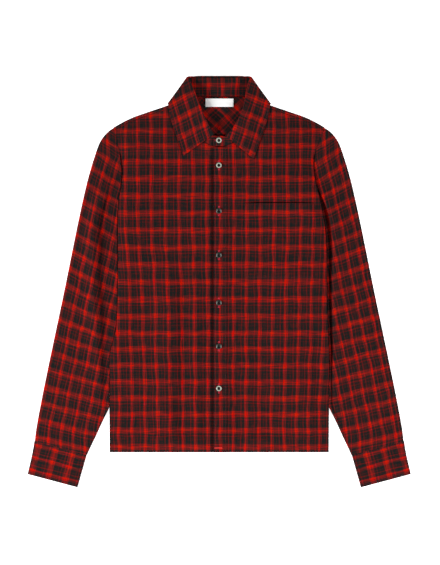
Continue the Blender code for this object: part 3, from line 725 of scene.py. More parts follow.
Collar = namedtuple("Collar", "turn rise roll_x roll_y edge_x edge_y neck_x neck_y")
COLLAR_LEFT = (  # from the front edge of the fall to the side; turn goes from 0, face up, to 180, face down
    Collar(0, 0.8, 10.6, 293.6, 71.4, 251.2, 17.0, 272.5),
    Collar(0, 5.8, 18.0, 307.0, 78.0, 270.0, 41.0, 285.0),
    Collar(0, 8.8, 26.4, 323.0, 85.6, 291.2, 62.0, 306.0),
    Collar(0, 9.6, 34.0, 341.0, 92.0, 309.0, 72.0, 323.0),
    Collar(0, 8.6, 41.5, 360.0, 97.0, 325.2, 78.0, 338.0),
    Collar(0, 5.4, 50.0, 382.0, 100.0, 340.0, 80.6, 351.0),
    Collar(0, 1.4, 57.0, 400.0, 101.0, 348.0, 80.4, 359.0),
)
COLLAR_RIGHT = (
    Collar(0, 1.8, 12.0, 291.5, 68.8, 244.4, 17.0, 272.5),
    Collar(0, 6.0, 23.0, 301.0, 76.0, 266.0, 41.0, 285.0),
    Collar(0, 9.0, 37.4, 323.0, 84.6, 289.8, 62.0, 306.0),
    Collar(0, 9.6, 43.6, 337.0, 91.4, 309.0, 72.0, 323.0),
    Collar(0, 8.6, 48.6, 352.0, 96.6, 326.0, 78.0, 338.0),
    Collar(0, 5.4, 53.4, 378.0, 99.8, 340.0, 80.6, 351.0),
    Collar(0, 1.4, 58.0, 399.0, 101.0, 348.0, 80.4, 359.0),
)
COLLAR_SIDE = (
    Collar(0, 0, 60.6, 402.6, 101.0, 352.0, 79.4, 362.5),
    Collar(45, 0, 61.2, 405.2, 100.6, 353.0, 78.0, 364.6),
    Collar(90, 0, 59.4, 407.3, 99.0, 353.8, 75.0, 366.2),
    Collar(135, 0, 55.6, 409.1, 96.0, 354.6, 70.0, 367.6),
    Collar(180, 0, 50.6, 410.3, 91.0, 355.4, 64.0, 368.4),
)
COLLAR_BACK = (
    Collar(180, 0, 44.0, 411.1, 70.0, 356.6, 52.0, 368.9),
    Collar(180, 0, 28.0, 411.2, 42.0, 358.5, 32.0, NECK_BACK_Y + GAP),
    Collar(180, 0, 0.0, 411.2, 0.0, 359.5, 0.0, NECK_BACK_Y + GAP),
)
STAND_END_LEFT = (
    Collar(0, -0.4, -9.0, 291.0, -9.0, 250.0, -9.0, 271.0),
    Collar(0, -0.4, 0.0, 294.4, 0.0, 250.0, 0.0, 270.4),
)
STAND_END_RIGHT = (
    Collar(0, 1.4, -12.0, 289.0, -12.0, 250.0, -12.0, 271.0),
    Collar(0, 1.4, 0.0, 294.4, 0.0, 250.0, 0.0, 270.4),
)


def frames(stations, side, finely):
    """Collar stations with softly curved ones put in between, each with its side."""
    return [(row, side) for row in between(stations, steps(0, len(stations) - 1, 1 / finely))]


def half_collar(front, side):
    """The stations of one half, from the front edge of its leaf round the side to the middle of the back."""
    made = frames(front, side, LEAF_FINELY) + frames(COLLAR_SIDE, side, SIDE_FINELY)[1:]
    return made + frames(COLLAR_SIDE[-1:] + COLLAR_BACK, side, BACK_FINELY)[1:]


def collar_frame(row, side):
    """Axis points at roll, edge and neck, and the directions down the fall and out of its face."""
    roll = Vector((side * row.roll_x, row.roll_y, ROLL_OUT + row.rise))
    edge = Vector((side * row.edge_x, row.edge_y, EDGE_OUT))
    neck = Vector((side * row.neck_x, row.neck_y, EDGE_OUT))
    down = Vector((edge.x - roll.x, edge.y - roll.y, 0)).normalized()
    outwards = Vector((-down.y * side, down.x * side, 0))
    turn = math.radians(row.turn)
    face = outwards * math.sin(turn) + Vector((0, 0, math.cos(turn)))
    resting = 1 - ease((row.roll_y - REST_TO_Y) / REST_RUN)
    if resting > 0 and row.turn < 1:
        height = over_under if side > 0 else lambda x, y: front_under(x, y, -1)
        rest_z = height(edge.x, edge.y + FALL_AHEAD) + WALL + LAYER + FALL_REST - EDGE_OUT
        edge.z += resting * (rest_z - edge.z)
        neck.z += resting * (height(neck.x, neck.y) - NECK_IN - neck.z)
    return roll + down * ROLL, edge, neck, down, face


def fall_place(station, row):
    roll, edge, neck, down, face = collar_frame(*station)
    kind, step = row
    if kind == "roll":
        turn = math.radians(step)
        return roll + face * (ROLL_OUT - ROLL + ROLL * math.sin(turn)) - down * ROLL * math.cos(turn)
    settled = 1 - (1 - step) ** 1.5
    point = roll.lerp(edge, step)
    point.z = roll.z + (edge.z - roll.z) * settled
    return point + face * (ROLL_OUT + settled * (EDGE_OUT - ROLL_OUT))


def stand_place(station, step):
    roll, edge, neck, down, face = collar_frame(*station)
    top = roll + down * STAND_TOP + face * STAND_IN
    foot = neck + face * NECK_IN
    foot += (top - foot).normalized() * SEAM
    return top.lerp(foot, step)


def leaf_check(point, station, row):
    """Counts bands from the middle of a dark square, along the two leaning ways that they run."""
    leaf = LEAF_CHECK_LEFT if point.x < 0 else LEAF_CHECK_RIGHT
    away = point.xy - leaf.square
    turning = leaf.across.cross(leaf.down)
    return away.cross(leaf.down) / turning + 0.5, away.cross(leaf.across) / turning + 0.5


def stand_check(point, station, row):
    return (point.x - STAND_BAND_X) / STAND_WARP, (point.y - STAND_BAND_Y) / STAND_WEFT


half_left, half_right = half_collar(COLLAR_LEFT, -1), half_collar(COLLAR_RIGHT, 1)
fall_stations = half_left + half_right[:-1][::-1]
fall_rows = [("roll", turn) for turn in steps(-90, 90, 20)]
fall_rows += [("fall", share) for share in steps(0, 1, 0.07)[1:]]
fall = cloth("collar_leaf", fall_stations, fall_rows, fall_place, leaf_check, grow=-1)
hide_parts("collar_fall")

stand_stations = frames(STAND_END_LEFT + COLLAR_LEFT[:1], -1, 4)[:-1] + fall_stations
stand_stations += frames(STAND_END_RIGHT + COLLAR_RIGHT[:1], 1, 4)[:-1][::-1]
stand = cloth("collar_band", stand_stations, steps(0, 1, 0.1), stand_place, stand_check)
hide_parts("collar_stand")

# Label ---------------------
# A small blank label of white woven satin, sewn flat to the inner yoke just under the collar seam.

LABEL_WIDTH, LABEL_HEIGHT, LABEL_WALL = 56.0, 16.6, 1.0
LABEL_X, LABEL_Y = 0.6, 357.2
LABEL_LOOSE = 1.3  # its lower edge stands off a little between the tacked corners


def label_place(u, v):
    x, y = LABEL_X + u * LABEL_WIDTH / 2, LABEL_Y + v * LABEL_HEIGHT / 2
    return x, y, 2 * LAYER + lift(NECK_BACK_Y) + LABEL_LOOSE * (1 - u * u) * ease(0.5 - v / 2)


def label_check(point, u, v):
    return u * LABEL_WIDTH / 2, v * LABEL_HEIGHT / 2


def label_satin():
    weave = Weave("label_satin")
    coords = weave.node("UVMap", {"uv_map": "check"}, {})
    bands = weave.node("SeparateXYZ", {}, {"Vector": coords})
    down = Field(weave.tree, bands.socket.node.outputs["Y"])
    across = Field(weave.tree, bands.socket.node.outputs["X"])
    rows = down.math("SINE", down * (math.tau / 0.5))
    floats = across.math("SINE", across * (math.tau / 0.8))
    tint = weave.mix(rows * 0.3 + 0.5, (0.93, 0.93, 0.92, 1), (0.98, 0.98, 0.97, 1))
    weave.feed("Base Color", tint)
    bump = weave.node("Bump", {}, {"Height": rows + floats * 0.4, "Strength": 0.25, "Distance": 0.0001})
    weave.feed("Normal", bump)
    weave.fix(Roughness=0.6, Sheen_Weight=0.1)
    return weave.material


label_columns, label_rows = steps(-1, 1, 0.1), steps(-1, 1, 0.2)
looks = {"wall": LABEL_WALL, "rim": 0.3, "material": label_satin()}
label = cloth("neck_label_satin", label_columns, label_rows, label_place, label_check, **looks)
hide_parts("neck_label")

# Sleeves -------------------
# Long sleeves, each a tube of flannel pressed flat on the table. The left one folds along a deep crease
# beside the body, the right one along a thin one. They are set into the armholes with a plain seam.

SLEEVE_CLEAR = 0.1
SLEEVE_FOLD = 2.4
CREASE_LEAD = 5.0
STRIP_SINK = 1.8
STRIP_FALL = 3.2
SWELL_AWAY = 7.0
SWELL_HALF = 34.0
EDGE_EASE = 22.0
FINE_TO = 0.72  # the top layer is laid out finely from the inner edge to here, past the crease
SIDES = ((-1, "left"), (1, "right"))

Station = namedtuple("Station", "outer_y inner_y hug height crease_left sink_left crease_right sink_right")
SLEEVE = (  # sections from the armhole to the cuff; hug is how far each still follows the armhole's curve
    Station(307, UNDERARM_Y, 1.0, 5.4, 30, 0.0, 8, 0.0),
    Station(290, 166, 0.8, 5.6, 31, 1.8, 9, 1.2),
    Station(266, 158, 0.55, 6.0, 33, 3.8, 10, 2.4),
    Station(234, 148, 0.32, 6.3, 36, 6.0, 11, 4.0),
    Station(198, 134, 0.14, 6.5, 39, 8.0, 12, 5.2),
    Station(160, 114, 0.0, 6.6, 42, 9.0, 12, 5.6),
    Station(118, 86, 0.0, 6.6, 43, 8.6, 12, 5.4),
    Station(74, 45, 0.0, 6.6, 41, 9.2, 11, 5.0),
    Station(28, -2, 0.0, 6.6, 42, 8.6, 10, 4.6),
    Station(-20, -50, 0.0, 6.5, 39, 8.8, 9, 4.2),
    Station(-68, -98, 0.0, 6.4, 30, 7.6, 8, 3.8),
    Station(-116, -146, 0.0, 6.3, 18, 5.6, 7, 3.2),
    Station(-165, -195, 0.0, 6.2, 12, 4.0, 6, 2.6),
    Station(-212, -243, 0.0, 6.1, 12, 2.2, 7, 1.8),
    Station(-253, -282, 0.0, 6.0, 13, 1.0, 8, 0.8),
    Station(-288, -316, 0.0, 5.8, 14, 0.3, 10, 0.2),
    Station(-318.8, -346.6, 0.0, 5.6, 15, 0.0, 12, 0.0),
)
Outline = namedtuple("Outline", "y x")
SLEEVE_OUTSIDE = (
    Outline(-318.8, 368.6),
    Outline(-300, 366.5),
    Outline(-249, 357.5),
    Outline(-27, 311.5),
    Outline(195, 265.0),
    Outline(225, 257.0),
    Outline(243, 251.5),
    Outline(267, 243.5),
    Outline(279, 238.5),
    Outline(291, 230.5),
    Outline(303, 218.0),
    Outline(307, 211.6),
)
SLEEVE_INSIDE = (  # below the point where the sleeve leaves the body
    Outline(-346.6, 264.2),
    Outline(-333, 258.0),
    Outline(-309, 246.5),
    Outline(-285, 235.6),
    Outline(-255, 221.0),
)
sleeve_outside = Curve(column(SLEEVE_OUTSIDE, "y"), column(SLEEVE_OUTSIDE, "x"))
sleeve_inside = Curve(column(SLEEVE_INSIDE, "y"), column(SLEEVE_INSIDE, "x"))


def sleeve_ends(row, side):
    """Where a section of the sleeve has its outer and its inner edge."""
    inner_x = body_edge(row.inner_y, side) + SLEEVE_CLEAR
    if row.inner_y <= SLEEVE_INSIDE[-1].y:
        inner_x = sleeve_inside(row.inner_y)
    outer = Vector((side * sleeve_outside(row.outer_y), row.outer_y, 0))
    return outer, Vector((side * inner_x, row.inner_y, 0))


def armhole_bow(share, side):
    outer, inner = sleeve_ends(SLEEVE[0], side)
    straight = outer.lerp(inner, share)
    return abs(straight.x) - body_edge(straight.y, side) - GAP


def tube_place(outer, inner, spot, fold, top_layer):
    """A point of a flattened tube's section between its outer and inner edges, and its share of the way."""
    length = (inner - outer).length
    kind, value = spot
    if kind in ("inner", "outer"):
        turn = math.radians(value)
        distance = fold * (1 - math.cos(turn))
        if kind == "inner":
            distance = length - distance
        z = fold * (1 + math.sin(turn))
    else:
        distance = fold + value * (length - 2 * fold)
        z = 0.0 if kind == "bottom" else top_layer(distance, length)
    point = outer.lerp(inner, distance / length)
    point.z = z
    return point, distance / length


def tube_ring(top):
    """The spots round a flattened tube's section, with its top layer laid out as asked."""
    ring = [("bottom", share) for share in steps(0, 1, 0.07)]
    ring += [("inner", turn) for turn in steps(-70, 70, 20)]
    ring += [("top", share) for share in top]
    ring += [("outer", turn) for turn in steps(70, -70, 20)]
    return ring + ring[:1]


sleeve_stations = between(SLEEVE, steps(0, len(SLEEVE) - 1, 0.1))
sleeve_ring = tube_ring(steps(1, FINE_TO, 0.0075) + steps(FINE_TO, 0, 0.028)[1:])


def sleeve_maker(side):
    def place(spot, row):
        outer, inner = sleeve_ends(row, side)
        crease = row.crease_left if side < 0 else row.crease_right
        sink = row.sink_left if side < 0 else row.sink_right

        def top_layer(distance, length):
            """Full beside the crease, then the low strip along the body."""
            past = distance - (length - crease)
            reach = SWELL_HALF if past < -SWELL_AWAY else SWELL_AWAY
            swell = sink * (1 - ease(abs(past + SWELL_AWAY) / reach))
            main = (row.height - 2 * SLEEVE_FOLD + swell) * ease((distance - SLEEVE_FOLD) / EDGE_EASE)
            strip = STRIP_FALL * (length - distance) / crease * (side < 0) - STRIP_SINK
            strip *= ease(sink) * ease((length - distance - SLEEVE_FOLD) / CREASE_LEAD)
            rise = main + (strip - main) * ease((past + CREASE_LEAD) / CREASE_LEAD)
            return 2 * SLEEVE_FOLD + rise

        point, share = tube_place(outer, inner, spot, SLEEVE_FOLD, top_layer)
        point.x -= side * row.hug * armhole_bow(share, side)
        return point

    return place


SLEEVE_WARP = 24.0
OUTLINE_TOP_Y = 250.0
SLEEVE_LEAN = math.radians(12)
SLEEVE_WEFT_START, SLEEVE_WEFT = -6.5, 33.6  # where the weft bands meet the outer edge
RIGHT_WARP, LEFT_WARP = 0.44, -0.05
RIGHT_HIGHER = 6.5  # how far the bands of the right sleeve lie above those of the left one
WeftSlope = namedtuple("WeftSlope", "y left right")  # in degrees
WEFT_SLOPES = (
    WeftSlope(-340, 13.5, 13),
    WeftSlope(-240, 15, 14),
    WeftSlope(-60, 22, 16),
    WeftSlope(60, 27, 20),
    WeftSlope(160, 28, 26),
    WeftSlope(300, 34, 33),
)
slope_left = Curve(column(WEFT_SLOPES, "y"), column(WEFT_SLOPES, "left"))
slope_right = Curve(column(WEFT_SLOPES, "y"), column(WEFT_SLOPES, "right"))


def sleeve_check(point, spot, row):
    inward = sleeve_outside(min(point.y, OUTLINE_TOP_Y)) - abs(point.x)
    across = inward * math.cos(SLEEVE_LEAN) / SLEEVE_WARP
    left = point.x < 0
    slope = slope_left(point.y) if left else slope_right(point.y)
    up = point.y + math.tan(math.radians(slope)) * inward - SLEEVE_WEFT_START
    if left:
        return across + LEFT_WARP, up / SLEEVE_WEFT
    return across + RIGHT_WARP, (up - RIGHT_HIGHER) / SLEEVE_WEFT


for side, name in SIDES:
    rows, place = sleeve_stations[::-1], sleeve_maker(side)
    sleeve = cloth("sleeve_tube_" + name, sleeve_ring, rows, place, sleeve_check, grow=-side)
    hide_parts("sleeve_" + name)

# Cuffs ---------------------
# Bands of interlined flannel cut across the cloth, gathered to the sleeve's end and pressed flat with it. The
# button and the slit of each cuff are underneath.

CUFF_WALL = 1.6
CUFF_FOLD = 2.3
CUFF_RISE = 5.0
CUFF_TURN = math.radians(14.7)
CUFF_WARP = 25.0
CUFF_WARP_FROM, CUFF_WEFT_FROM = 6.0, 12.0  # the first bands below the seam and in from the outer edge

Cuff = namedtuple("Cuff", "outer_x outer_y inner_x inner_y")
CUFF = (
    Cuff(369.4, -318.4, 264.7, -346.2),
    Cuff(374.0, -345.0, 272.5, -374.0),
    Cuff(383.0, -384.6, 283.0, -411.2),
)
cuff_stations = between(CUFF, steps(0, len(CUFF) - 1, 0.1))
cuff_ring = tube_ring(steps(1, 0, 0.035))


def cuff_top(distance, length):
    return 2 * CUFF_FOLD + (CUFF_RISE - 2 * CUFF_FOLD) * math.sin(math.pi * distance / length)


def cuff_ends(row, side):
    return Vector((side * row.outer_x, row.outer_y, 0)), Vector((side * row.inner_x, row.inner_y, 0))


def cuff_maker(side):
    def place(spot, row):
        return tube_place(*cuff_ends(row, side), spot, CUFF_FOLD, cuff_top)[0]

    return place


def cuff_check(point, spot, row):
    x, y = abs(point.x) - CUFF[0].outer_x, point.y - CUFF[0].outer_y
    below = -y * math.cos(CUFF_TURN) + x * math.sin(CUFF_TURN)
    inward = -x * math.cos(CUFF_TURN) - y * math.sin(CUFF_TURN)
    return (below - CUFF_WARP_FROM) / CUFF_WARP, (inward - CUFF_WEFT_FROM) / WEFT_PITCH


for side, name in SIDES:
    rows, place = cuff_stations[::-1], cuff_maker(side)
    cuff = cloth("cuff_band_" + name, cuff_ring, rows, place, cuff_check, wall=CUFF_WALL, grow=-side)
    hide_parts("cuff_" + name)

# Buttons -------------------
# Seven 18-line shirt buttons of smoky shell, turned with a dished middle, drilled with four eyes and sewn on
# with dark thread. One closes the stand and six close the placket. Three have a highlight painted all round
# the rim, and every rim has painted glints at its left and right.

BUTTON_X = -0.6
STAND_BUTTON_Y = 282.0
PLACKET_BUTTONS = (232.0, 141.0, 53.0, -42.0, -129.0, -213.0)
# the buttons whose whole rim gets a painted highlight
PAINTED_RIM_LIGHT_BUTTONS = (1, 2, 7)
BUTTON_STEPS = 40
EYE_OUT, EYE_RADIUS, EYE_STEPS, DRILL_LENGTH = 1.3, 0.55, 14, 8.0
BUTTON_LIFT = 0.2
DISH = 1.05
YARN_WIDTH, YARN_HEIGHT, YARN_ASIDE, YARN_RISE, YARN_PAST = 0.42, 0.5, 0.22, 0.12, 0.2  # in the eyes
CAST_ABOVE, CAST_BELOW = (0, 0, 90), (0, 0, -50)

Turned = namedtuple("Turned", "radius z")
BUTTON = (  # from the middle of the top round the rim to the middle of the back
    Turned(0.0, DISH),
    Turned(2.0, DISH),
    Turned(2.5, 1.3),
    Turned(3.0, 1.85),
    Turned(3.7, 2.2),
    Turned(4.5, 2.25),
    Turned(5.2, 1.95),
    Turned(5.65, 1.5),
    Turned(5.8, 1.05),
    Turned(5.4, 0.5),
    Turned(4.6, 0.12),
    Turned(3.9, 0.0),
    Turned(0.0, 0.0),
)


def surface(piece):
    """Finds the point of a finished piece under or over a spot of the plan, and the way it faces there."""
    bpy.context.view_layer.update()
    shape = piece.evaluated_get(bpy.context.evaluated_depsgraph_get())

    def cast(x, y, below=False):
        start = Vector(CAST_BELOW if below else CAST_ABOVE) + Vector((x, y, 0))
        hit, point, facing, _ = shape.ray_cast(start * MM, Vector((0, 0, 1 if below else -1)))
        return (point / MM, facing) if hit else None

    return cast


bead = bmesh.new()
bmesh.ops.create_uvsphere(bead, u_segments=6, v_segments=4, radius=0.5)
bead_spots = [vert.co.copy() for vert in bead.verts]
bead_faces = [[vert.index for vert in face.verts] for face in bead.faces]
bead.free()


def stitch(bm, start, end, up, width, height):
    """One stitch from start to end: a small bead of thread, flattened onto the cloth."""
    along = (end - start).normalized()
    up = (up - along * up.dot(along)).normalized()
    turned = Matrix((along, up.cross(along), up)).transposed().to_4x4()
    size = Matrix.Diagonal(((end - start).length * MM, width * MM, height * MM, 1))
    place = Matrix.Translation((start + end) / 2 * MM) @ turned @ size
    verts = [bm.verts.new(place @ spot) for spot in bead_spots]
    for corners in bead_faces:
        bm.faces.new([verts[corner] for corner in corners])


def thread(name, colour):
    """Twisted polyester sewing thread."""
    weave = Weave(name)
    place = weave.node("TexCoord", {}, {}, output="Object")
    twist = {"Vector": place, "Scale": 900.0, "Distortion": 0.6}
    ply = weave.node("TexWave", {"bands_direction": "DIAGONAL"}, twist)
    dark = tuple(part * 0.55 for part in colour[:3]) + (1,)
    weave.feed("Base Color", weave.mix(ply, dark, colour))
    weave.feed("Normal", weave.node("Bump", {}, {"Height": ply, "Strength": 0.4, "Distance": 0.00012}))
    weave.fix(Roughness=0.55, Specular_IOR_Level=0.25)
    return weave.material


def sewing(name, bm, material):
    """Makes one piece of the stitches in a mesh, sewn to the shirt."""
    for face in bm.faces:
        face.smooth = True
    piece = add_to_scene(name, bm)
    piece.data.materials.append(material)
    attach(piece, "root")
    return piece


def shell(name, rim, painted_glint):
    """Polished shell: near-black dish, a rim of the given colour with painted glints towards its left and
    right ends, cloudy grain.
    """
    weave = Weave(name)
    turned = weave.node("UVMap", {"uv_map": "turned"}, {})
    place = weave.node("TexCoord", {}, {}, output="Object")
    radius = weave.node("VectorMath", {"operation": "LENGTH"}, {0: turned}, output="Value")
    parts = weave.node("SeparateXYZ", {}, {"Vector": turned})
    sideways = parts.math("ABSOLUTE", parts)
    cloud = weave.node("TexNoise", {}, {"Vector": place, "Scale": 260.0, "Detail": 3.0, "Distortion": 1.5})
    soft = {"interpolation_type": "SMOOTHSTEP"}
    dish = weave.node("MapRange", soft, {"Value": radius, "From Min": 2.8, "From Max": 3.6})
    lip = weave.node("MapRange", soft, {"Value": radius, "From Min": 4.7, "From Max": 5.4})
    # Painted glints: towards its left and right ends the rim's colour turns to the glint colour, as if
    # reflecting the soft boxes.
    ends = weave.node("MapRange", soft, {"Value": sideways, "From Min": 2.6, "From Max": 4.6})
    painted_rim_light = weave.mix(ends * (cloud + 0.3), rim, painted_glint)
    face = weave.mix(dish * (cloud * 0.5 + 0.75), (0.006, 0.007, 0.008, 1), painted_rim_light)
    weave.feed("Base Color", weave.mix(lip * 0.75, face, (0.03, 0.036, 0.032, 1)))
    weave.feed("Roughness", cloud * 0.25 + 0.28)
    grain = weave.node("Bump", {}, {"Height": cloud, "Strength": 0.15, "Distance": 0.0001})
    weave.feed("Normal", grain)
    weave.feed("Coat Weight", dish * 0.14)
    weave.fix(Specular_IOR_Level=0.22, Coat_Roughness=0.12)
    return weave.material


def turned_button():
    """The button's mesh, spun from its profile and drilled."""
    bm = bmesh.new()
    verts = [bm.verts.new((point.radius * MM, 0, point.z * MM)) for point in BUTTON]
    edges = [bm.edges.new(pair) for pair in zip(verts, verts[1:])]
    bmesh.ops.spin(bm, geom=verts + edges, cent=(0, 0, 0), axis=(0, 0, 1), angle=math.tau, steps=BUTTON_STEPS)
    bmesh.ops.remove_doubles(bm, verts=bm.verts, dist=0.005 * MM)
    bmesh.ops.recalc_face_normals(bm, faces=bm.faces)
    blank = add_to_scene("button_blank", bm)
    drill = bmesh.new()
    bit = {"radius1": EYE_RADIUS * MM, "radius2": EYE_RADIUS * MM, "depth": DRILL_LENGTH * MM}
    for quarter in range(4):
        turn = math.radians(45 + 90 * quarter)
        out = Matrix.Translation(Vector((math.cos(turn), math.sin(turn), 0)) * EYE_OUT * MM)
        bmesh.ops.create_cone(drill, cap_ends=True, segments=EYE_STEPS, matrix=out, **bit)
    eyes = add_to_scene("button_eyes", drill)
    cut = blank.modifiers.new("Eyes", "BOOLEAN")
    cut.object = eyes
    cut.operation = "DIFFERENCE"
    cut.solver = "EXACT"
    bpy.context.view_layer.update()
    drilled = bpy.data.meshes.new_from_object(blank.evaluated_get(bpy.context.evaluated_depsgraph_get()))
    bpy.data.objects.remove(blank)
    bpy.data.objects.remove(eyes)
    return drilled


# All seven are the same smoky shell. The pale rim of the first finish is a painted highlight standing in for
# the soft box's reflection.
painted_rim_light_shell = shell("button_painted_rim_light_shell", (0.38, 0.42, 0.34, 1), (0.50, 0.54, 0.46, 1))
smoke_shell_painted_highlights = shell("button_smoke_shell_painted_highlights", (0.020, 0.026, 0.020, 1), (0.17, 0.19, 0.17, 1))
dark_thread = thread("button_thread", (0.012, 0.010, 0.012, 1))
button_shape = turned_button()
on_stand, on_placket = surface(stand), surface(placket)
places = [on_stand(BUTTON_X, STAND_BUTTON_Y)] + [on_placket(BUTTON_X, y) for y in PLACKET_BUTTONS]
for number, (foot, facing) in enumerate(places, 1):
    turn = Vector((0, 0, 1)).rotation_difference(facing).to_matrix().to_4x4()
    place = Matrix.Translation((foot + facing * BUTTON_LIFT) * MM) @ turn
    bm = bmesh.new()
    bm.from_mesh(button_shape)
    turned = bm.loops.layers.uv.new("turned")
    for face in bm.faces:
        face.smooth = True
        for loop in face.loops:
            loop[turned].uv = loop.vert.co.xy / MM
    bmesh.ops.transform(bm, matrix=place, verts=bm.verts)
    shank = bmesh.new()
    for lean in (45, 135):
        angle = math.radians(lean)
        reach = Vector((math.cos(angle), math.sin(angle), 0)) * (EYE_OUT + YARN_PAST)
        for aside in (-YARN_ASIDE, YARN_ASIDE):
            across = Vector((-reach.y, reach.x, 0)).normalized() * aside
            middle = across + Vector((0, 0, DISH + YARN_RISE))
            ends = [place @ ((sign * reach + middle) * MM) / MM for sign in (-1, 1)]
            stitch(shank, *ends, facing, YARN_WIDTH, YARN_HEIGHT)
    sewing(f"button_{number}_thread", shank, dark_thread)
    finish = painted_rim_light_shell if number in PAINTED_RIM_LIGHT_BUTTONS else smoke_shell_painted_highlights
    button = sewing(f"shell_button_{number}", bm, finish)
    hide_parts(f"button_{number}")

# Sewing --------------------
# Topstitching in wine thread along every edge that is turned in, crimson buttonholes, and a red bartack that
# closes the foot of the placket.

STITCH, STITCH_GAP = 2.1, 0.6
THREAD_WIDTH, THREAD_HEIGHT = 0.55, 0.36
wine_thread = thread("topstitch_thread", (0.17, 0.007, 0.014, 1))
crimson_thread = thread("buttonhole_thread", (0.62, 0.016, 0.05, 1))
red_thread = thread("bartack_thread", (0.95, 0.035, 0.025, 1))


def walk(route, pitch):
    """Points along a route in the plan, a stitch's pitch apart."""
    route = [Vector(spot) for spot in route]
    made, owed = [route[0]], pitch
    for start, end in zip(route, route[1:]):
        length = (end - start).length
        while owed <= length:
            made.append(start.lerp(end, owed / length))
            owed += pitch
        owed -= length
    return made


def topstitch(name, runs, material=None, below=False):
    """Sews stitches along routes of the plan, each route on its own piece."""
    bm = bmesh.new()
    share = STITCH / (STITCH + STITCH_GAP)
    for piece, route in runs:
        cast = surface(piece)
        spots = walk(route, STITCH + STITCH_GAP)
        for start, end in zip(spots, spots[1:]):
            first, last = cast(*start, below), cast(*start.lerp(end, share), below)
            if first and last and abs(first[0].z - last[0].z) < STITCH:
                stitch(bm, first[0], last[0], first[1], THREAD_WIDTH, THREAD_HEIGHT)
    return sewing(name, bm, material or wine_thread)


LEAF_INSET = 0.93
for half, name in ((half_left, "left"), (half_right, "right")):
    leaf = half[2:LEAF_FINELY * (len(COLLAR_LEFT) - 1) + 1]
    point_edge = [fall_place(leaf[0], ("fall", share)).xy for share in steps(0.1, LEAF_INSET, 0.05)]
    outer_edge = [fall_place(station, ("fall", LEAF_INSET)).xy for station in leaf[1:]]
    topstitch("collar_stitching_" + name, [(fall, point_edge + outer_edge)])

NECK_STITCH, NECK_STITCH_HALF = 4.5, 46.0
neck_seam = [(x, neckline(x) + NECK_STITCH) for x in steps(-NECK_STITCH_HALF, NECK_STITCH_HALF, 4)]
topstitch("neck_stitching", [(stand, neck_seam)])

PLACKET_INSET, PLACKET_FOOT, PLACKET_TOP = 2.6, HEM_Y + 1.5, 266.0
placket_runs = []
for x in (PLACKET_EDGE + PLACKET_INSET, PLACKET_EDGE + PLACKET_WIDTH - PLACKET_INSET):
    placket_runs.append((placket, [(x, PLACKET_FOOT), (x, PLACKET_TOP)]))
topstitch("placket_stitching", placket_runs)

POCKET_INSET, POCKET_MOUTH_Y, POCKET_HEM_Y = 2.0, POCKET_TOP - 1, 131.8
left, right, foot = POCKET_LEFT + POCKET_INSET, POCKET_RIGHT - POCKET_INSET, POCKET_FOOT + POCKET_INSET
pocket_runs = [(pocket, [(left, POCKET_MOUTH_Y), (left, foot), (right, foot), (right, POCKET_MOUTH_Y)])]
pocket_runs.append((pocket, [(left, POCKET_HEM_Y), (right, POCKET_HEM_Y)]))
topstitch("pocket_stitching", pocket_runs)

HEM_STITCH_Y = HEM_Y + 9.0
hem_left, hem_right = (-215, HEM_STITCH_Y), (215, HEM_STITCH_Y)
hem_runs = [(under_front, [hem_left, (PLACKET_EDGE - 1, HEM_STITCH_Y)])]
hem_runs.append((over_front, [(PLACKET_EDGE + PLACKET_WIDTH + 1, HEM_STITCH_Y), hem_right]))
topstitch("hem_stitching", hem_runs)
topstitch("back_hem_stitching", [(back, [hem_left, hem_right])], below=True)

SHOULDER_STITCH, SHOULDER_END, YOKE_STITCH_Y, YOKE_END = 1.8, 205.0, YOKE_SEAM_Y + 2, 184.0
shoulder_edge = []
for x in steps(NECK_HALF + 3, SHOULDER_END, 4):
    shoulder_edge.append((x, shoulder(x) - SHOULDER_DROP + SHOULDER_GAP + SHOULDER_STITCH))
shoulder_runs = [(back_yoke, [(side * x, y) for x, y in shoulder_edge]) for side, name in SIDES]
topstitch("shoulder_stitching", shoulder_runs)
yoke_run = [(-YOKE_END, YOKE_STITCH_Y), (YOKE_END, YOKE_STITCH_Y)]
topstitch("yoke_stitching", [(back_yoke, yoke_run)], below=True)

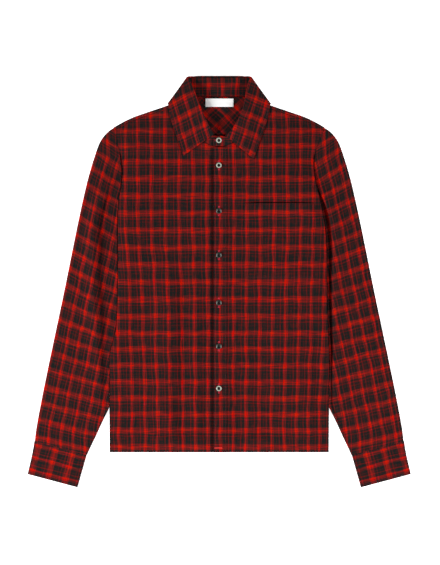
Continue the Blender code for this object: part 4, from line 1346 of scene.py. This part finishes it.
CUFF_ROWS = (0.1, 1.91)  # places along the cuff's list of sections, by its seam and by its end
for side, name in SIDES:
    band = bpy.data.objects["cuff_band_" + name]
    cuff_runs = []
    for row in between(CUFF, CUFF_ROWS):
        outer, inner = cuff_ends(row, side)
        cuff_runs.append((band, [outer.lerp(inner, share).xy for share in (0.02, 0.98)]))
    topstitch("cuff_stitching_" + name, cuff_runs)
    topstitch("cuff_stitching_under_" + name, cuff_runs, below=True)


def close_stitch(bm, spot, half, width, height):
    """One stitch of a close row, centred on a spot that a surface gave and reaching half each way."""
    foot, facing = spot
    half = Vector(half)
    stitch(bm, foot - half, foot + half, facing, width, height)


HOLE_HALF, HOLE_WIDE, HOLE_PITCH = 8.4, 1.0, 0.62
HOLE_THREAD, HOLE_HEIGHT, HOLE_REACH = 0.66, 0.5, HOLE_WIDE * 0.85
END_HALF, END_OUT, END_PITCH, END_HEIGHT, END_REACH = 1.5, 0.8, 0.6, 0.6, 1.1  # the bars at the holes' ends
holes = bmesh.new()
for y in PLACKET_BUTTONS:
    for row in steps(-HOLE_HALF, HOLE_HALF, HOLE_PITCH):
        for side in (-1, 1):
            spot = on_placket(BUTTON_X + side * HOLE_WIDE, y + row)
            close_stitch(holes, spot, (HOLE_REACH, 0, 0), HOLE_THREAD, HOLE_HEIGHT)
    for end in (-1, 1):
        for aside in steps(-END_HALF, END_HALF, END_PITCH):
            spot = on_placket(BUTTON_X + aside, y + end * (HOLE_HALF + END_OUT))
            close_stitch(holes, spot, (0, END_REACH, 0), HOLE_THREAD, END_HEIGHT)
for row in steps(-HOLE_HALF, HOLE_HALF, HOLE_PITCH):
    for side in (-1, 1):
        spot = on_stand(BUTTON_X + row, STAND_BUTTON_Y + side * HOLE_WIDE)
        close_stitch(holes, spot, (0, HOLE_REACH, 0), HOLE_THREAD, HOLE_HEIGHT)
sewing("buttonholes", holes, crimson_thread)

BARTACK_Y, BARTACK_FROM, BARTACK_TO = -331.8, -9.0, 6.0
BARTACK_PITCH, BARTACK_HALF, BARTACK_THREAD, BARTACK_HEIGHT = 0.6, (0.15, 1.4, 0), 0.7, 0.8
bartack = bmesh.new()
for x in steps(BARTACK_FROM, BARTACK_TO, BARTACK_PITCH):
    close_stitch(bartack, on_placket(x, BARTACK_Y), BARTACK_HALF, BARTACK_THREAD, BARTACK_HEIGHT)
sewing("placket_bartack", bartack, red_thread)
